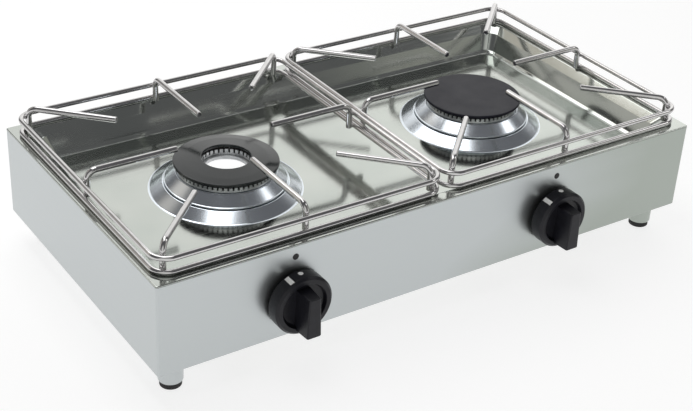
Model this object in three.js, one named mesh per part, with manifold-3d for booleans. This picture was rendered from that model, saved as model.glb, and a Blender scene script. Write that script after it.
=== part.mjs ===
// Two-burner gas table stove in stainless steel. Millimetres, +Z up.
// The origin is on the worktop under the middle of the body, and the front panel faces -Y.

import * as THREE from "three";
import { mergeVertices } from "three/addons/utils/BufferGeometryUtils.js";
import Module from "manifold-3d";

const wasm = await Module();
wasm.setup();

// ---- driving dimensions ----------------------------------------------------------------

const GAP = 0.3; // clearance wherever one piece rests on or sits in another
const OVERCUT = 1; // how far a cutting shape runs past the face that it opens
const SHEET = 1.2;

const BODY_WIDTH = 600;
const BODY_DEPTH = 315;
const BODY_HEIGHT = 92;
const FOOT_HEIGHT = 28.5;
const RIM_TOP = FOOT_HEIGHT + BODY_HEIGHT;
const FRONT_FACE = -BODY_DEPTH / 2;
const REAR_FACE = BODY_DEPTH / 2;
const FLANGE_WIDTH = 34; // bottom flange of the housing, folded inwards
const FLANGE_RELIEF = { halfLength: 240, width: 4 }; // it is narrower between the feet
const FLANGE_TOP = FOOT_HEIGHT + SHEET;

// The well of the hob tray, from its mouth down to its floor.
const WELL = [
  { inset: 12, drop: 0, corner: 16 },
  { inset: 19.5, drop: 8, corner: 14 },
  { inset: 27, drop: 25, corner: 13 },
  { inset: 28.2, drop: 27.2, corner: 12.5 },
  { inset: 30.5, drop: 28, corner: 12 },
];
const FLOOR_TOP = RIM_TOP - WELL.at(-1).drop;

const BURNER_X = 146;
const BURNER_Y = 1;
const DOME = { baseRadius: 72.2, topRadius: 60, height: 8, hole: 44.5 };
const DOME_TOP = FLOOR_TOP + DOME.height;
const HEAD_BASE = DOME_TOP + 11;
const HEAD_RADIUS = 46.3;
const CROWN_WALL = 3.3;
const CHANNEL_FLOOR = HEAD_BASE + 2.5;
const SPIGOT_BOTTOM = HEAD_BASE - 6;
const SPIGOT_WALL = 2.5;
const GAS_HOLES = { count: 8, radius: 2.6, circle: 31 };
const CAP_RADIUS = 50.2;
const CAP_HOLE = 23.2;
const CAP_THICKNESS = 2.8;
const CAP_EDGE = 0.9; // bevel
const CAP_BOTTOM = HEAD_BASE + 7.5;
const RING_CAP_RISE = 3; // height of the ring cap's inner edge above its outer edge
const CUP_TOP = HEAD_BASE - GAP;
const CUP_BOTTOM = 56;
const CUP_FLOOR = 59;
const CUP_RADIUS = 42.5;
const CUP_WALL = 3.5;
const CUP_INNER = CUP_RADIUS - CUP_WALL;
// The ring burner's shallow cup. Its underside rises towards the open passage in its middle, and
// the lip round the passage stands up inside the head.
const RING_CUP = {
  passage: 20.5, lip: 23, lipTop: HEAD_BASE + 2.5, lipBottom: HEAD_BASE - 1, rimBottom: HEAD_BASE - 13.5,
  seat: 26.5, floor: 2.2,
};
const OUTER_PORTS = 30;
const INNER_PORTS = 15;
const PORT_WIDTH = 2;
const PORT_DEPTH = 3;
const TUBE = { mouth: -94, mouthRadius: 13, radius: 9.5, flare: 9, wall: 3, end: -26 }; // mixing tube
const COLLAR = { low: 59, high: 48, thickness: 1.2 }; // outer radii of the polished cone

const SUPPORT_X = 148;
const RING_HALF_WIDTH = 145;
const RING_HALF_DEPTH = 147.5;
const RING_CORNER = 16;
const RING_WIRE = 2.5; // wire radius
const RING_STEP = 13.2; // height of the upper ring above the lower one
const FINGER_WIRE = 3; // wire radius
const FINGER_TOP = 149.5;
const FINGER_BEND = 9;
const SIDE_TIP = 50; // from the middle of the support to the end of a side finger
const CORNER_TIP = { x: 73, y: 77 };

const TAP_SPREAD = 147; // half the distance between the taps
const TAP_X_SHIFT = -20; // the taps sit to the left of the burners
const TAP_Z = 67.5;
const TAP_RADIUS = 13;
const TAP_REAR = -103.6;
const PLUG_FRONT = -133;
const PLUG_REAR = -111;
const PLUG_RADIUS = 8;
const PLUG_REAR_RADIUS = 6;
const GAS_WAY = 2.2; // radius of the drillings in the tap's leg and plug
const COVER_FRONT = -152;
const COVER_SEAT = -149; // front face of the tap body
const CHAMBER_RADIUS = 9.2;
const COLLAR_THICKNESS = 1.5; // of the stem's collar, which rests against the cover
const PUSH_TRAVEL = 2.5;
const STEM_RADIUS = 3.7;
const STEM_FRONT = FRONT_FACE - 24;
const STEM_FLAT = 1.5; // depth of the flat for the knob
const TANG = { thickness: 2.6, width: 6.8, depth: 3 };
const PANEL_HOLE = 5.5;
const SPRING = { turns: 4, stepsPerTurn: 7, radius: 6.4, wire: 0.6 };
const JET = { bore: 1, thread: 3, hexagon: 5.2, tip: 2.4, length: 11 };

const KNOB_RADIUS = 28.7;
const KNOB_STANDOFF = 3.5; // clearance behind the dial, more than the push travel
const DIAL_FRONT = 18; // measured out from the front panel, like the next three
const DIAL_FLOOR = 14;
const GRIP_FRONT = 34;
const KNOB_BORE_END = 26;
const DIAL_RING = { outer: 26.5, inner: 21.9, floor: 20.9 }; // radii of the dial's front ring
const GRIP = { topWidth: 12.6, bottomWidth: 16, above: 16.4, below: 23.5 };

const RAIL_RADIUS = 7;
const RAIL_BORE = 5;
const RAIL_Y = -125;
const RAIL_Z = 42;
const RAIL_LEFT = -190;
const RAIL_BEND = 20;
const PLUG_FLANGE = { radius: 8, thickness: 6 };
const INLET_X = 235;
const INLET = {
  front: 132, socketFloor: 141, socketRadius: 10, collarRadius: 13, collarRear: 166, shankRadius: 7,
  shankRear: 172, boreRadius: 3, nozzleRadius: 5, barbRadius: 6.2, barbs: 3, barbPitch: 6, rear: 194.5,
};

const FOOT_INSET = { front: 23.2, rear: 27, end: 22.5 }; // the rear feet stand further in
const SLEEVE = { radius: 11.3, bottom: 5.5, socket: 8.3, socketTop: 16, edge: 0.9 };
const PAD = { radius: 10, peg: 8, pegTop: 14, edge: 0.8 };
const STUD = { radius: 3, top: 41, hole: 3.5 };
const NUT = { bore: 4, radius: 6.4, height: 5 };

const DISC_SIDES = 36;
const CUP_SIDES = 28;
const FITTING_SIDES = 12;
const WIRE_SIDES = 8;
const BEND_STEPS = 3; // straight stretches in a quarter bend of wire or sheet

// ---- materials -------------------------------------------------------------------------

const BRUSHED_STEEL = { color: 0xb9bbb8, roughness: 0.35, metalness: 1 };
const POLISHED_STEEL = { color: 0xd4d6d6, roughness: 0.08, metalness: 1 };
const CAST_ALUMINIUM = { color: 0xc3c5c6, roughness: 0.45, metalness: 1 };
const BLACK_ENAMEL = { color: 0x26282a, roughness: 0.4, metalness: 0 };
const BLACK_PLASTIC = { color: 0x17181a, roughness: 0.45, metalness: 0 };
const BLACK_RUBBER = { color: 0x101010, roughness: 0.85, metalness: 0 };
const BRASS = { color: 0xc2a052, roughness: 0.35, metalness: 1 };
const SPRING_STEEL = { color: 0x8d9094, roughness: 0.3, metalness: 1 };

// ---- shape helpers ---------------------------------------------------------------------

// A closed three.js geometry as a solid, with its shared points merged.
function solid(geometry) {
  const bare = geometry.clone();
  bare.deleteAttribute("normal");
  bare.deleteAttribute("uv");
  const merged = mergeVertices(bare, 1e-4);
  const index = merged.index.array;
  const triangles = [];
  for (let i = 0; i < index.length; i += 3) {
    const [a, b, c] = index.slice(i, i + 3);
    if (a !== b && b !== c && c !== a) triangles.push(a, b, c);
  }
  return new wasm.Manifold(new wasm.Mesh({
    numProp: 3,
    vertProperties: new Float32Array(merged.attributes.position.array),
    triVerts: new Uint32Array(triangles),
  }));
}

function toGeometry(body) {
  const mesh = body.getMesh();
  const geometry = new THREE.BufferGeometry();
  geometry.setAttribute("position", new THREE.BufferAttribute(mesh.vertProperties, 3));
  geometry.setIndex(new THREE.BufferAttribute(mesh.triVerts, 1));
  return geometry;
}

function join(...geometries) {
  return toGeometry(geometries.map(solid).reduce((sum, next) => sum.add(next)));
}

function cut(base, ...tools) {
  return toGeometry(tools.map(solid).reduce((rest, tool) => rest.subtract(tool), solid(base)));
}

// A box from its low corner to its high corner.
function block(low, high) {
  const size = high.map((value, axis) => value - low[axis]);
  const middle = high.map((value, axis) => (value + low[axis]) / 2);
  return new THREE.BoxGeometry(...size).translate(...middle);
}

// A solid of revolution about Y, from a counter-clockwise outline of [radius, y] points.
// An outline that touches the axis starts and ends on it, and any other is closed here.
function turned(outline, sides = 16) {
  const points = outline.map(([radius, y]) => new THREE.Vector2(radius, y));
  const touchesAxis = outline[0][0] === 0;
  if (!touchesAxis) points.push(points[0].clone());
  return new THREE.LatheGeometry(points, sides);
}

// The same about Z: the outline's points are [radius, z].
function upright(outline, sides = 16) {
  const flipped = outline.map(([radius, z]) => [radius, -z]).reverse();
  const geometry = turned(flipped, sides);
  return geometry.rotateX(-Math.PI / 2);
}

function rodAlongY(radius, from, to, x, z, sides = 16) {
  const outline = [[0, from], [radius, from], [radius, to], [0, to]];
  return turned(outline, sides).translate(x, 0, z);
}

function rodAlongZ(radius, from, to, x, y, sides = 16) {
  const outline = [[0, from], [radius, from], [radius, to], [0, to]];
  return upright(outline, sides).translate(x, y, 0);
}

// A route through given points, each of which gets one section of the wire.
class WireRoute extends THREE.Curve {
  constructor(points) {
    super();
    this.points = points;
  }

  getPoint(t, target = new THREE.Vector3()) {
    const place = t * (this.points.length - 1);
    const start = Math.min(Math.floor(place), this.points.length - 2);
    return target.lerpVectors(this.points[start], this.points[start + 1], place - start);
  }

  getPointAt(u, target) {
    return this.getPoint(u, target);
  }

  getSpacedPoints() {
    return this.points.map((point) => point.clone());
  }

  getTangentAt(u, target = new THREE.Vector3()) {
    const here = Math.round(u * (this.points.length - 1));
    target.set(0, 0, 0);
    for (const start of [here - 1, here]) {
      if (start < 0 || start > this.points.length - 2) continue;
      const stretch = this.points[start + 1].clone().sub(this.points[start]);
      target.add(stretch.normalize());
    }
    return target.normalize();
  }
}

function roundSection(radius, sides, Kind = THREE.Shape) {
  const points = [];
  for (let i = 0; i < sides; i += 1) {
    const angle = (i / sides) * 2 * Math.PI;
    points.push(new THREE.Vector2(radius * Math.cos(angle), radius * Math.sin(angle)));
  }
  return new Kind(points);
}

function wire(points, section) {
  const route = new WireRoute(points);
  const steps = points.length - 1;
  return new THREE.ExtrudeGeometry(section, { extrudePath: route, steps, bevelEnabled: false });
}

// A closed loop of wire, from a route that ends where it starts: the sides of the swept section
// meet there, so its two end faces are left out.
function wireLoop(points, section) {
  const swept = wire(points, section);
  const [, sides] = swept.groups;
  const first = 3 * sides.start;
  const corners = swept.attributes.position.array.slice(first, first + 3 * sides.count);
  const geometry = new THREE.BufferGeometry();
  geometry.setAttribute("position", new THREE.BufferAttribute(corners, 3));
  return toGeometry(solid(geometry));
}

// Points of a rounded rectangle at one height, counter-clockwise from the middle of its +X side.
function roundedRectangle(halfX, halfY, corner, z, steps) {
  const points = [];
  const signs = [[1, 1], [-1, 1], [-1, -1], [1, -1]];
  signs.forEach(([signX, signY], quarter) => {
    for (let i = 0; i <= steps; i += 1) {
      const angle = (quarter + i / steps) * (Math.PI / 2);
      const x = signX * (halfX - corner) + corner * Math.cos(angle);
      const y = signY * (halfY - corner) + corner * Math.sin(angle);
      points.push(new THREE.Vector3(x, y, z));
    }
  });
  return points;
}

// A closed solid through a stack of rings with equal numbers of points, lowest ring first.
function stack(rings) {
  const count = rings[0].length;
  const positions = rings.flat().flatMap((point) => point.toArray());
  positions.push(0, 0, rings[0][0].z, 0, 0, rings.at(-1)[0].z);
  const lowMiddle = rings.length * count;
  const highMiddle = lowMiddle + 1;
  const lastRing = (rings.length - 1) * count;
  const index = [];
  for (let i = 0; i < count; i += 1) {
    const next = (i + 1) % count;
    index.push(lowMiddle, next, i);
    index.push(highMiddle, lastRing + i, lastRing + next);
    for (let ring = 0; ring < rings.length - 1; ring += 1) {
      const low = ring * count;
      const high = low + count;
      index.push(low + i, low + next, high + next);
      index.push(low + i, high + next, high + i);
    }
  }
  const geometry = new THREE.BufferGeometry();
  geometry.setAttribute("position", new THREE.Float32BufferAttribute(positions, 3));
  geometry.setIndex(index);
  return geometry;
}

const stove = new THREE.Group();

function place(name, geometry, finish, parent = stove) {
  const mesh = new THREE.Mesh(geometry, new THREE.MeshStandardMaterial(finish));
  mesh.name = name;
  parent.add(mesh);
  return mesh;
}

const SIDES = [
  { side: "left", sign: -1, ringBurner: true },
  { side: "right", sign: 1, ringBurner: false },
];
const ROWS = [{ row: "front", signY: -1 }, { row: "rear", signY: 1 }];
const tapX = (sign) => sign * TAP_SPREAD + TAP_X_SHIFT;

// ---- housing and hob tray --------------------------------------------------------------

const footPlaces = [];
for (const { row, signY } of ROWS) {
  for (const { side, sign } of SIDES) {
    const x = sign * (BODY_WIDTH / 2 - FOOT_INSET[row]);
    const y = signY * (BODY_DEPTH / 2 - FOOT_INSET.end);
    footPlaces.push({ name: `${row}_${side}`, x, y });
  }
}

// Four walls with a flange folded inwards at the bottom, open above and below.
function housing() {
  const top = RIM_TOP - SHEET - GAP;
  const halfX = BODY_WIDTH / 2;
  const shell = block([-halfX, FRONT_FACE, FOOT_HEIGHT], [halfX, REAR_FACE, top]);
  const inside = block(
    [-halfX + SHEET, FRONT_FACE + SHEET, FLANGE_TOP],
    [halfX - SHEET, REAR_FACE - SHEET, top + OVERCUT],
  );
  const underside = block(
    [-halfX + FLANGE_WIDTH, FRONT_FACE + FLANGE_WIDTH, FOOT_HEIGHT - OVERCUT],
    [halfX - FLANGE_WIDTH, REAR_FACE - FLANGE_WIDTH, FLANGE_TOP + OVERCUT],
  );
  const reliefY = REAR_FACE - FLANGE_RELIEF.width;
  const relief = block(
    [-FLANGE_RELIEF.halfLength, -reliefY, FOOT_HEIGHT - OVERCUT],
    [FLANGE_RELIEF.halfLength, reliefY, FLANGE_TOP + OVERCUT],
  );
  const holes = [];
  const inletHole = INLET.socketRadius + 2 * GAP;
  holes.push(rodAlongY(inletHole, REAR_FACE - SHEET - OVERCUT, REAR_FACE + OVERCUT, INLET_X, RAIL_Z));
  for (const { sign } of SIDES) {
    const [from, to] = [FRONT_FACE - OVERCUT, FRONT_FACE + SHEET + OVERCUT];
    holes.push(rodAlongY(PANEL_HOLE, from, to, tapX(sign), TAP_Z));
  }
  for (const foot of footPlaces) {
    const [from, to] = [FOOT_HEIGHT - OVERCUT, FLANGE_TOP + OVERCUT];
    holes.push(rodAlongZ(STUD.hole, from, to, foot.x, foot.y, FITTING_SIDES));
  }
  return cut(shell, inside, underside, relief, ...holes);
}

// The space inside the well, or with a skin of sheet steel round it, the outside of the well.
function wellStack(skin) {
  const rings = WELL.map(({ inset, drop, corner }) => roundedRectangle(
    BODY_WIDTH / 2 - inset + skin,
    BODY_DEPTH / 2 - inset + skin,
    corner + skin,
    RIM_TOP - drop - skin,
    BEND_STEPS,
  ));
  return stack(rings.reverse());
}

// A raised cone in the floor: its outside, or its inside when lowered by the sheet's thickness and
// run on below its base.
function domeCone(lowered, runOn) {
  const top = DOME_TOP - lowered;
  const bottom = FLOOR_TOP - lowered - runOn;
  const slope = (DOME.baseRadius - DOME.topRadius) / DOME.height;
  const bottomRadius = DOME.baseRadius + slope * runOn;
  return upright([[0, bottom], [bottomRadius, bottom], [DOME.topRadius, top], [0, top]], DISC_SIDES);
}

function hobTray() {
  const halfX = BODY_WIDTH / 2;
  const rim = block([-halfX, FRONT_FACE, RIM_TOP - SHEET], [halfX, REAR_FACE, RIM_TOP]);
  const { inset, corner } = WELL[0];
  const mouth = roundedRectangle(halfX - inset, REAR_FACE - inset, corner, RIM_TOP, BEND_STEPS);
  const above = mouth.map((point) => point.clone().setZ(RIM_TOP + OVERCUT));
  let tray = cut(join(rim, wellStack(SHEET)), wellStack(0), stack([mouth, above]));
  for (const { sign } of SIDES) {
    const x = sign * BURNER_X;
    const raised = domeCone(0, 0).translate(x, BURNER_Y, 0);
    const hollow = domeCone(SHEET, OVERCUT).translate(x, BURNER_Y, 0);
    const [from, to] = [FLOOR_TOP - DOME.height, DOME_TOP + OVERCUT];
    const hole = rodAlongZ(DOME.hole, from, to, x, BURNER_Y, DISC_SIDES);
    tray = cut(join(tray, raised), hollow, hole);
  }
  return tray;
}

place("housing", housing(), BRUSHED_STEEL);
place("hob_tray", hobTray(), POLISHED_STEEL);

// ---- feet ------------------------------------------------------------------------------

// A steel sleeve with a threaded stud on top and a socket for the rubber pad below.
function footSleeve() {
  const top = FOOT_HEIGHT - GAP;
  const { radius, bottom, socket, socketTop, edge } = SLEEVE;
  return upright([
    [0, socketTop], [socket, socketTop], [socket, bottom], [radius - edge, bottom], [radius, bottom + edge],
    [radius, top], [STUD.radius, top], [STUD.radius, STUD.top], [0, STUD.top],
  ], FITTING_SIDES);
}

// The pad's peg sits in the sleeve's socket, and its rim shows below the sleeve.
function footPad() {
  const shoulder = SLEEVE.bottom - GAP;
  const { radius, peg, pegTop, edge } = PAD;
  return upright([
    [0, 0], [radius - edge, 0], [radius, edge], [radius, shoulder], [peg, shoulder], [peg, pegTop],
    [0, pegTop],
  ], FITTING_SIDES);
}

function footNut() {
  const low = FLANGE_TOP + GAP;
  const high = low + NUT.height;
  return upright([[NUT.bore, low], [NUT.radius, low], [NUT.radius, high], [NUT.bore, high]], 6);
}

for (const { name, x, y } of footPlaces) {
  const foot = new THREE.Group();
  foot.position.set(x, y, 0);
  stove.add(foot);
  place(`${name}_foot_sleeve`, footSleeve(), BRUSHED_STEEL, foot);
  place(`${name}_foot_pad`, footPad(), BLACK_RUBBER, foot);
  place(`${name}_foot_nut`, footNut(), BRUSHED_STEEL, foot);
}

// ---- gas rail and inlet ----------------------------------------------------------------

// A tube along the front that turns back to the rear wall at its right end.
function gasRail() {
  const points = [new THREE.Vector3(RAIL_LEFT, RAIL_Y, RAIL_Z)];
  for (let i = 0; i <= BEND_STEPS; i += 1) {
    const angle = (i / BEND_STEPS) * (Math.PI / 2);
    const x = INLET_X - RAIL_BEND + RAIL_BEND * Math.sin(angle);
    const y = RAIL_Y + RAIL_BEND - RAIL_BEND * Math.cos(angle);
    points.push(new THREE.Vector3(x, y, RAIL_Z));
  }
  points.push(new THREE.Vector3(INLET_X, INLET.socketFloor - GAP, RAIL_Z));
  const section = roundSection(RAIL_RADIUS, FITTING_SIDES);
  section.holes.push(roundSection(RAIL_BORE, FITTING_SIDES, THREE.Path));
  return wire(points, section);
}

// Closes the left end of the rail: a flange against it and a peg inside it.
function railPlug() {
  const { radius, thickness } = PLUG_FLANGE;
  const peg = RAIL_BORE - 2 * GAP;
  const outline = [
    [0, -thickness - GAP], [radius, -thickness - GAP], [radius, -GAP], [peg, -GAP], [peg, thickness],
    [0, thickness],
  ];
  const plug = turned(outline, FITTING_SIDES).rotateZ(-Math.PI / 2);
  return plug.translate(RAIL_LEFT, RAIL_Y, RAIL_Z);
}

// The fitting through the rear wall: a socket for the rail, a collar and a barbed hose nozzle.
function gasInlet() {
  const socket = RAIL_RADIUS + GAP;
  const seat = REAR_FACE + GAP;
  const outline = [
    [INLET.boreRadius, INLET.socketFloor], [socket, INLET.socketFloor], [socket, INLET.front],
    [INLET.socketRadius, INLET.front], [INLET.socketRadius, seat], [INLET.collarRadius, seat],
    [INLET.collarRadius, INLET.collarRear], [INLET.shankRadius, INLET.collarRear],
    [INLET.shankRadius, INLET.shankRear], [INLET.nozzleRadius, INLET.shankRear + 2],
  ];
  const barbLength = INLET.barbPitch - 1;
  for (let barb = 0; barb < INLET.barbs; barb += 1) {
    const y = INLET.shankRear + 4 + INLET.barbPitch * barb;
    outline.push([INLET.barbRadius, y], [INLET.nozzleRadius, y + barbLength]);
  }
  outline.push([INLET.nozzleRadius, INLET.rear], [INLET.boreRadius, INLET.rear]);
  return turned(outline, FITTING_SIDES).translate(INLET_X, 0, RAIL_Z);
}

place("gas_rail", gasRail(), POLISHED_STEEL);
place("rail_plug", railPlug(), BRASS);
place("gas_inlet", gasInlet(), BRASS);

// ---- burners ---------------------------------------------------------------------------

// A ring about Z with a square-cornered section, or a disc where its inner radius is 0.
function ringBlock(inner, outer, low, high) {
  return upright([[inner, low], [outer, low], [outer, high], [inner, high]], CUP_SIDES);
}

// The mixing tube's outside or bore, which runs straight back from the tap.
function mixingTube(mouthRadius, radius, from, to, shift) {
  const { mouth, flare } = TUBE;
  const throat = mouth + flare;
  const tube = turned([[0, from], [mouthRadius, from], [radius, throat], [radius, to], [0, to]]);
  return tube.translate(shift, 0, TAP_Z);
}

// The deep cup under the plain burner's head, with its mixing tube.
function mixingBody(tubeShift) {
  const { mouth, mouthRadius, radius, wall, end } = TUBE;
  const cup = ringBlock(0, CUP_RADIUS, CUP_BOTTOM, CUP_TOP);
  const cavity = ringBlock(0, CUP_INNER, CUP_FLOOR, CUP_TOP + OVERCUT);
  const tube = mixingTube(mouthRadius, radius, mouth, end, tubeShift);
  const bore = mixingTube(
    mouthRadius - wall / 2, radius - wall, mouth - OVERCUT, end + OVERCUT, tubeShift,
  );
  return cut(join(cup, tube), cavity, bore);
}

// The ring burner's shallow cup, open through its middle. Its mixing tube turns up into it.
function ringMixingBody(tubeShift) {
  const { passage, lip, lipTop, lipBottom, rimBottom, seat, floor } = RING_CUP;
  const { mouth, mouthRadius, radius, wall, end } = TUBE;
  const slope = (lipBottom - rimBottom) / (CUP_RADIUS - passage);
  const underside = (at) => lipBottom - slope * (at - passage);
  const cup = upright([
    [passage, lipBottom], [CUP_RADIUS, rimBottom], [CUP_RADIUS, CUP_TOP], [lip, CUP_TOP], [lip, lipTop],
    [passage, lipTop],
  ], CUP_SIDES);
  const above = CUP_TOP + OVERCUT;
  const cavity = upright([
    [seat, underside(seat) + floor], [CUP_INNER, underside(CUP_INNER) + floor], [CUP_INNER, above],
    [seat, above],
  ], CUP_SIDES);
  const bore = radius - wall;
  const riserTop = underside(lip);
  const riser = rodAlongZ(radius, TAP_Z - radius, riserTop, tubeShift, end);
  const riserBore = rodAlongZ(bore, TAP_Z - bore, riserTop, tubeShift, end);
  const tube = mixingTube(mouthRadius, radius, mouth, end, tubeShift);
  const tubeBore = mixingTube(mouthRadius - wall / 2, bore, mouth - OVERCUT, end, tubeShift);
  return cut(join(cup, riser, tube), cavity, riserBore, tubeBore);
}

// Slots across a crown, evenly spaced round the circle.
function ports(count, innerRadius, outerRadius, low, high) {
  const slots = [];
  for (let i = 0; i < count; i += 1) {
    const slot = block([innerRadius, -PORT_WIDTH / 2, low], [outerRadius, PORT_WIDTH / 2, high]);
    slots.push(slot.rotateZ((2 * Math.PI * (i + 0.5)) / count));
  }
  return slots;
}

// Height of the cap's underside at a radius.
function capUnderside(ringBurner, radius) {
  if (!ringBurner) return CAP_BOTTOM;
  const edge = CAP_RADIUS - CAP_EDGE;
  return CAP_BOTTOM + (RING_CAP_RISE * (edge - radius)) / (edge - CAP_HOLE);
}

// The crown: a channel for the gas with flame ports round its outer wall, and on the ring burner
// round its inner wall too.
function burnerHead(ringBurner) {
  const top = capUnderside(ringBurner, HEAD_RADIUS) - GAP;
  const spigot = CUP_INNER - 2 * GAP;
  const channelEdge = HEAD_RADIUS - CROWN_WALL;
  const outside = [
    [spigot - SPIGOT_WALL, HEAD_BASE], [spigot - SPIGOT_WALL, SPIGOT_BOTTOM], [spigot, SPIGOT_BOTTOM],
    [spigot, HEAD_BASE], [HEAD_RADIUS, HEAD_BASE], [HEAD_RADIUS, top], [channelEdge, top],
    [channelEdge, CHANNEL_FLOOR],
  ];
  const openings = ports(
    OUTER_PORTS, channelEdge - OVERCUT, HEAD_RADIUS + OVERCUT, top - PORT_DEPTH, top + OVERCUT,
  );
  for (let i = 0; i < GAS_HOLES.count; i += 1) {
    const angle = (2 * Math.PI * i) / GAS_HOLES.count;
    const x = GAS_HOLES.circle * Math.cos(angle);
    const y = GAS_HOLES.circle * Math.sin(angle);
    const [from, to] = [HEAD_BASE - OVERCUT, CHANNEL_FLOOR + OVERCUT];
    openings.push(rodAlongZ(GAS_HOLES.radius, from, to, x, y, WIRE_SIDES));
  }
  if (!ringBurner) {
    const outline = [[0, HEAD_BASE], ...outside, [0, CHANNEL_FLOOR]];
    return cut(upright(outline, OUTER_PORTS), ...openings);
  }
  const inner = RING_CUP.lip + 2 * GAP;
  const innerWall = inner + SPIGOT_WALL;
  const innerTop = capUnderside(true, innerWall) - GAP;
  const outline = [
    [inner, HEAD_BASE], ...outside, [innerWall, CHANNEL_FLOOR], [innerWall, innerTop], [inner, innerTop],
  ];
  const innerPorts = ports(
    INNER_PORTS, inner - OVERCUT, innerWall + OVERCUT, innerTop - PORT_DEPTH, innerTop + OVERCUT,
  );
  return cut(upright(outline, OUTER_PORTS), ...openings, ...innerPorts);
}

// A pressed ring, dished up a little towards its hole.
function ringCap() {
  const high = CAP_BOTTOM + CAP_THICKNESS;
  const innerLow = CAP_BOTTOM + RING_CAP_RISE;
  const innerHigh = high + RING_CAP_RISE;
  return upright([
    [CAP_HOLE, innerLow], [CAP_RADIUS - CAP_EDGE, CAP_BOTTOM], [CAP_RADIUS, CAP_BOTTOM + CAP_EDGE],
    [CAP_RADIUS, high - CAP_EDGE], [CAP_RADIUS - CAP_EDGE, high], [CAP_HOLE + CAP_EDGE, innerHigh],
    [CAP_HOLE, innerHigh - CAP_EDGE],
  ], DISC_SIDES);
}

function solidCap() {
  const high = CAP_BOTTOM + CAP_THICKNESS;
  return upright([
    [0, CAP_BOTTOM], [CAP_RADIUS - CAP_EDGE, CAP_BOTTOM], [CAP_RADIUS, CAP_BOTTOM + CAP_EDGE],
    [CAP_RADIUS, high - CAP_EDGE], [CAP_RADIUS - CAP_EDGE, high], [0, high],
  ], DISC_SIDES);
}

// A thin polished cone from the edge of the dome up to the head.
function burnerCollar() {
  const low = DOME_TOP + GAP;
  const high = HEAD_BASE - GAP;
  const seat = CUP_RADIUS + 2 * GAP;
  const { low: lowRadius, high: highRadius, thickness } = COLLAR;
  return upright([
    [lowRadius - thickness, low], [lowRadius, low], [highRadius, high], [seat, high],
    [seat, high - thickness], [highRadius - thickness / 2, high - thickness],
  ], DISC_SIDES);
}

// The gas jet: a threaded end in the tap, a hexagon and a nozzle in the mouth of the mixing tube.
function injector(x) {
  const { bore, thread, hexagon, tip, length } = JET;
  const seat = TAP_REAR + GAP;
  const hexagonRear = seat + 4;
  const outline = [
    [bore, TAP_REAR - 4], [thread, TAP_REAR - 4], [thread, seat], [hexagon, seat], [hexagon, hexagonRear],
    [thread, hexagonRear], [tip, TAP_REAR + length], [bore, TAP_REAR + length],
  ];
  return turned(outline, FITTING_SIDES).translate(x, 0, TAP_Z);
}

for (const { side, sign, ringBurner } of SIDES) {
  const burner = new THREE.Group();
  burner.position.set(sign * BURNER_X, BURNER_Y, 0);
  stove.add(burner);
  const tubeShift = tapX(sign) - sign * BURNER_X;
  const body = ringBurner ? ringMixingBody(tubeShift) : mixingBody(tubeShift);
  place(`${side}_mixing_body`, body, CAST_ALUMINIUM, burner);
  place(`${side}_burner_head`, burnerHead(ringBurner), CAST_ALUMINIUM, burner);
  place(`${side}_burner_collar`, burnerCollar(), POLISHED_STEEL, burner);
  place(`${side}_burner_cap`, ringBurner ? ringCap() : solidCap(), BLACK_ENAMEL, burner);
  place(`${side}_injector`, injector(tapX(sign)), BRASS);
}

// ---- taps and knobs --------------------------------------------------------------------

// A solid about Y from a wide front end to a narrow or equal rear end.
function taperedRod(frontRadius, rearRadius, front, rear, sides) {
  return turned([[0, front], [frontRadius, front], [rearRadius, rear], [0, rear]], sides);
}

// The brass body: a tapered bore for the plug, a leg down to the rail and an outlet at the rear.
function tapBody() {
  const railTop = RAIL_Z + RAIL_RADIUS + GAP - TAP_Z;
  const legRadius = 7;
  const outletRadius = 8;
  const outletBoreRadius = JET.thread + GAP;
  const chamberRear = PLUG_FRONT - GAP;
  const boreFront = PLUG_RADIUS + GAP;
  const boreRear = PLUG_REAR_RADIUS + GAP;
  const barrel = taperedRod(TAP_RADIUS, TAP_RADIUS, COVER_SEAT, PLUG_REAR + 3);
  const outlet = taperedRod(outletRadius, outletRadius, PLUG_REAR, TAP_REAR, FITTING_SIDES);
  const leg = rodAlongZ(legRadius, railTop, -outletRadius / 2, 0, RAIL_Y, FITTING_SIDES);
  const chamber = taperedRod(CHAMBER_RADIUS, CHAMBER_RADIUS, COVER_SEAT - OVERCUT, chamberRear);
  const entry = taperedRod(boreFront, boreFront, chamberRear - OVERCUT, PLUG_FRONT);
  const taper = taperedRod(boreFront, boreRear, PLUG_FRONT, PLUG_REAR + GAP);
  const [boreStart, boreEnd] = [PLUG_REAR - OVERCUT, TAP_REAR + OVERCUT];
  const outletBore = rodAlongY(outletBoreRadius, boreStart, boreEnd, 0, 0, FITTING_SIDES);
  const legBore = rodAlongZ(GAS_WAY, railTop - OVERCUT, -outletRadius / 2, 0, RAIL_Y, WIRE_SIDES);
  return cut(join(barrel, outlet, leg), chamber, entry, taper, outletBore, legBore);
}

// The tapered plug. Its gas way faces sideways while the tap is off, and down towards the leg
// after a quarter turn.
function tapPlug() {
  const cone = taperedRod(PLUG_RADIUS, PLUG_REAR_RADIUS, PLUG_FRONT, PLUG_REAR);
  const { thickness, width, depth } = TANG;
  const slot = block(
    [-thickness / 2 - GAP, PLUG_FRONT - OVERCUT, -width / 2 - GAP],
    [thickness / 2 + GAP, PLUG_FRONT + depth + PUSH_TRAVEL + GAP, width / 2 + GAP],
  );
  const inletY = RAIL_Y + 1;
  const lengthwise = rodAlongY(GAS_WAY, inletY, PLUG_REAR + OVERCUT, 0, 0, WIRE_SIDES);
  const sideways = rodAlongZ(GAS_WAY, 0, PLUG_RADIUS + OVERCUT, 0, 0, WIRE_SIDES);
  sideways.rotateY(-Math.PI / 2).translate(0, inletY, 0);
  return cut(cone, slot, lengthwise, sideways);
}

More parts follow.
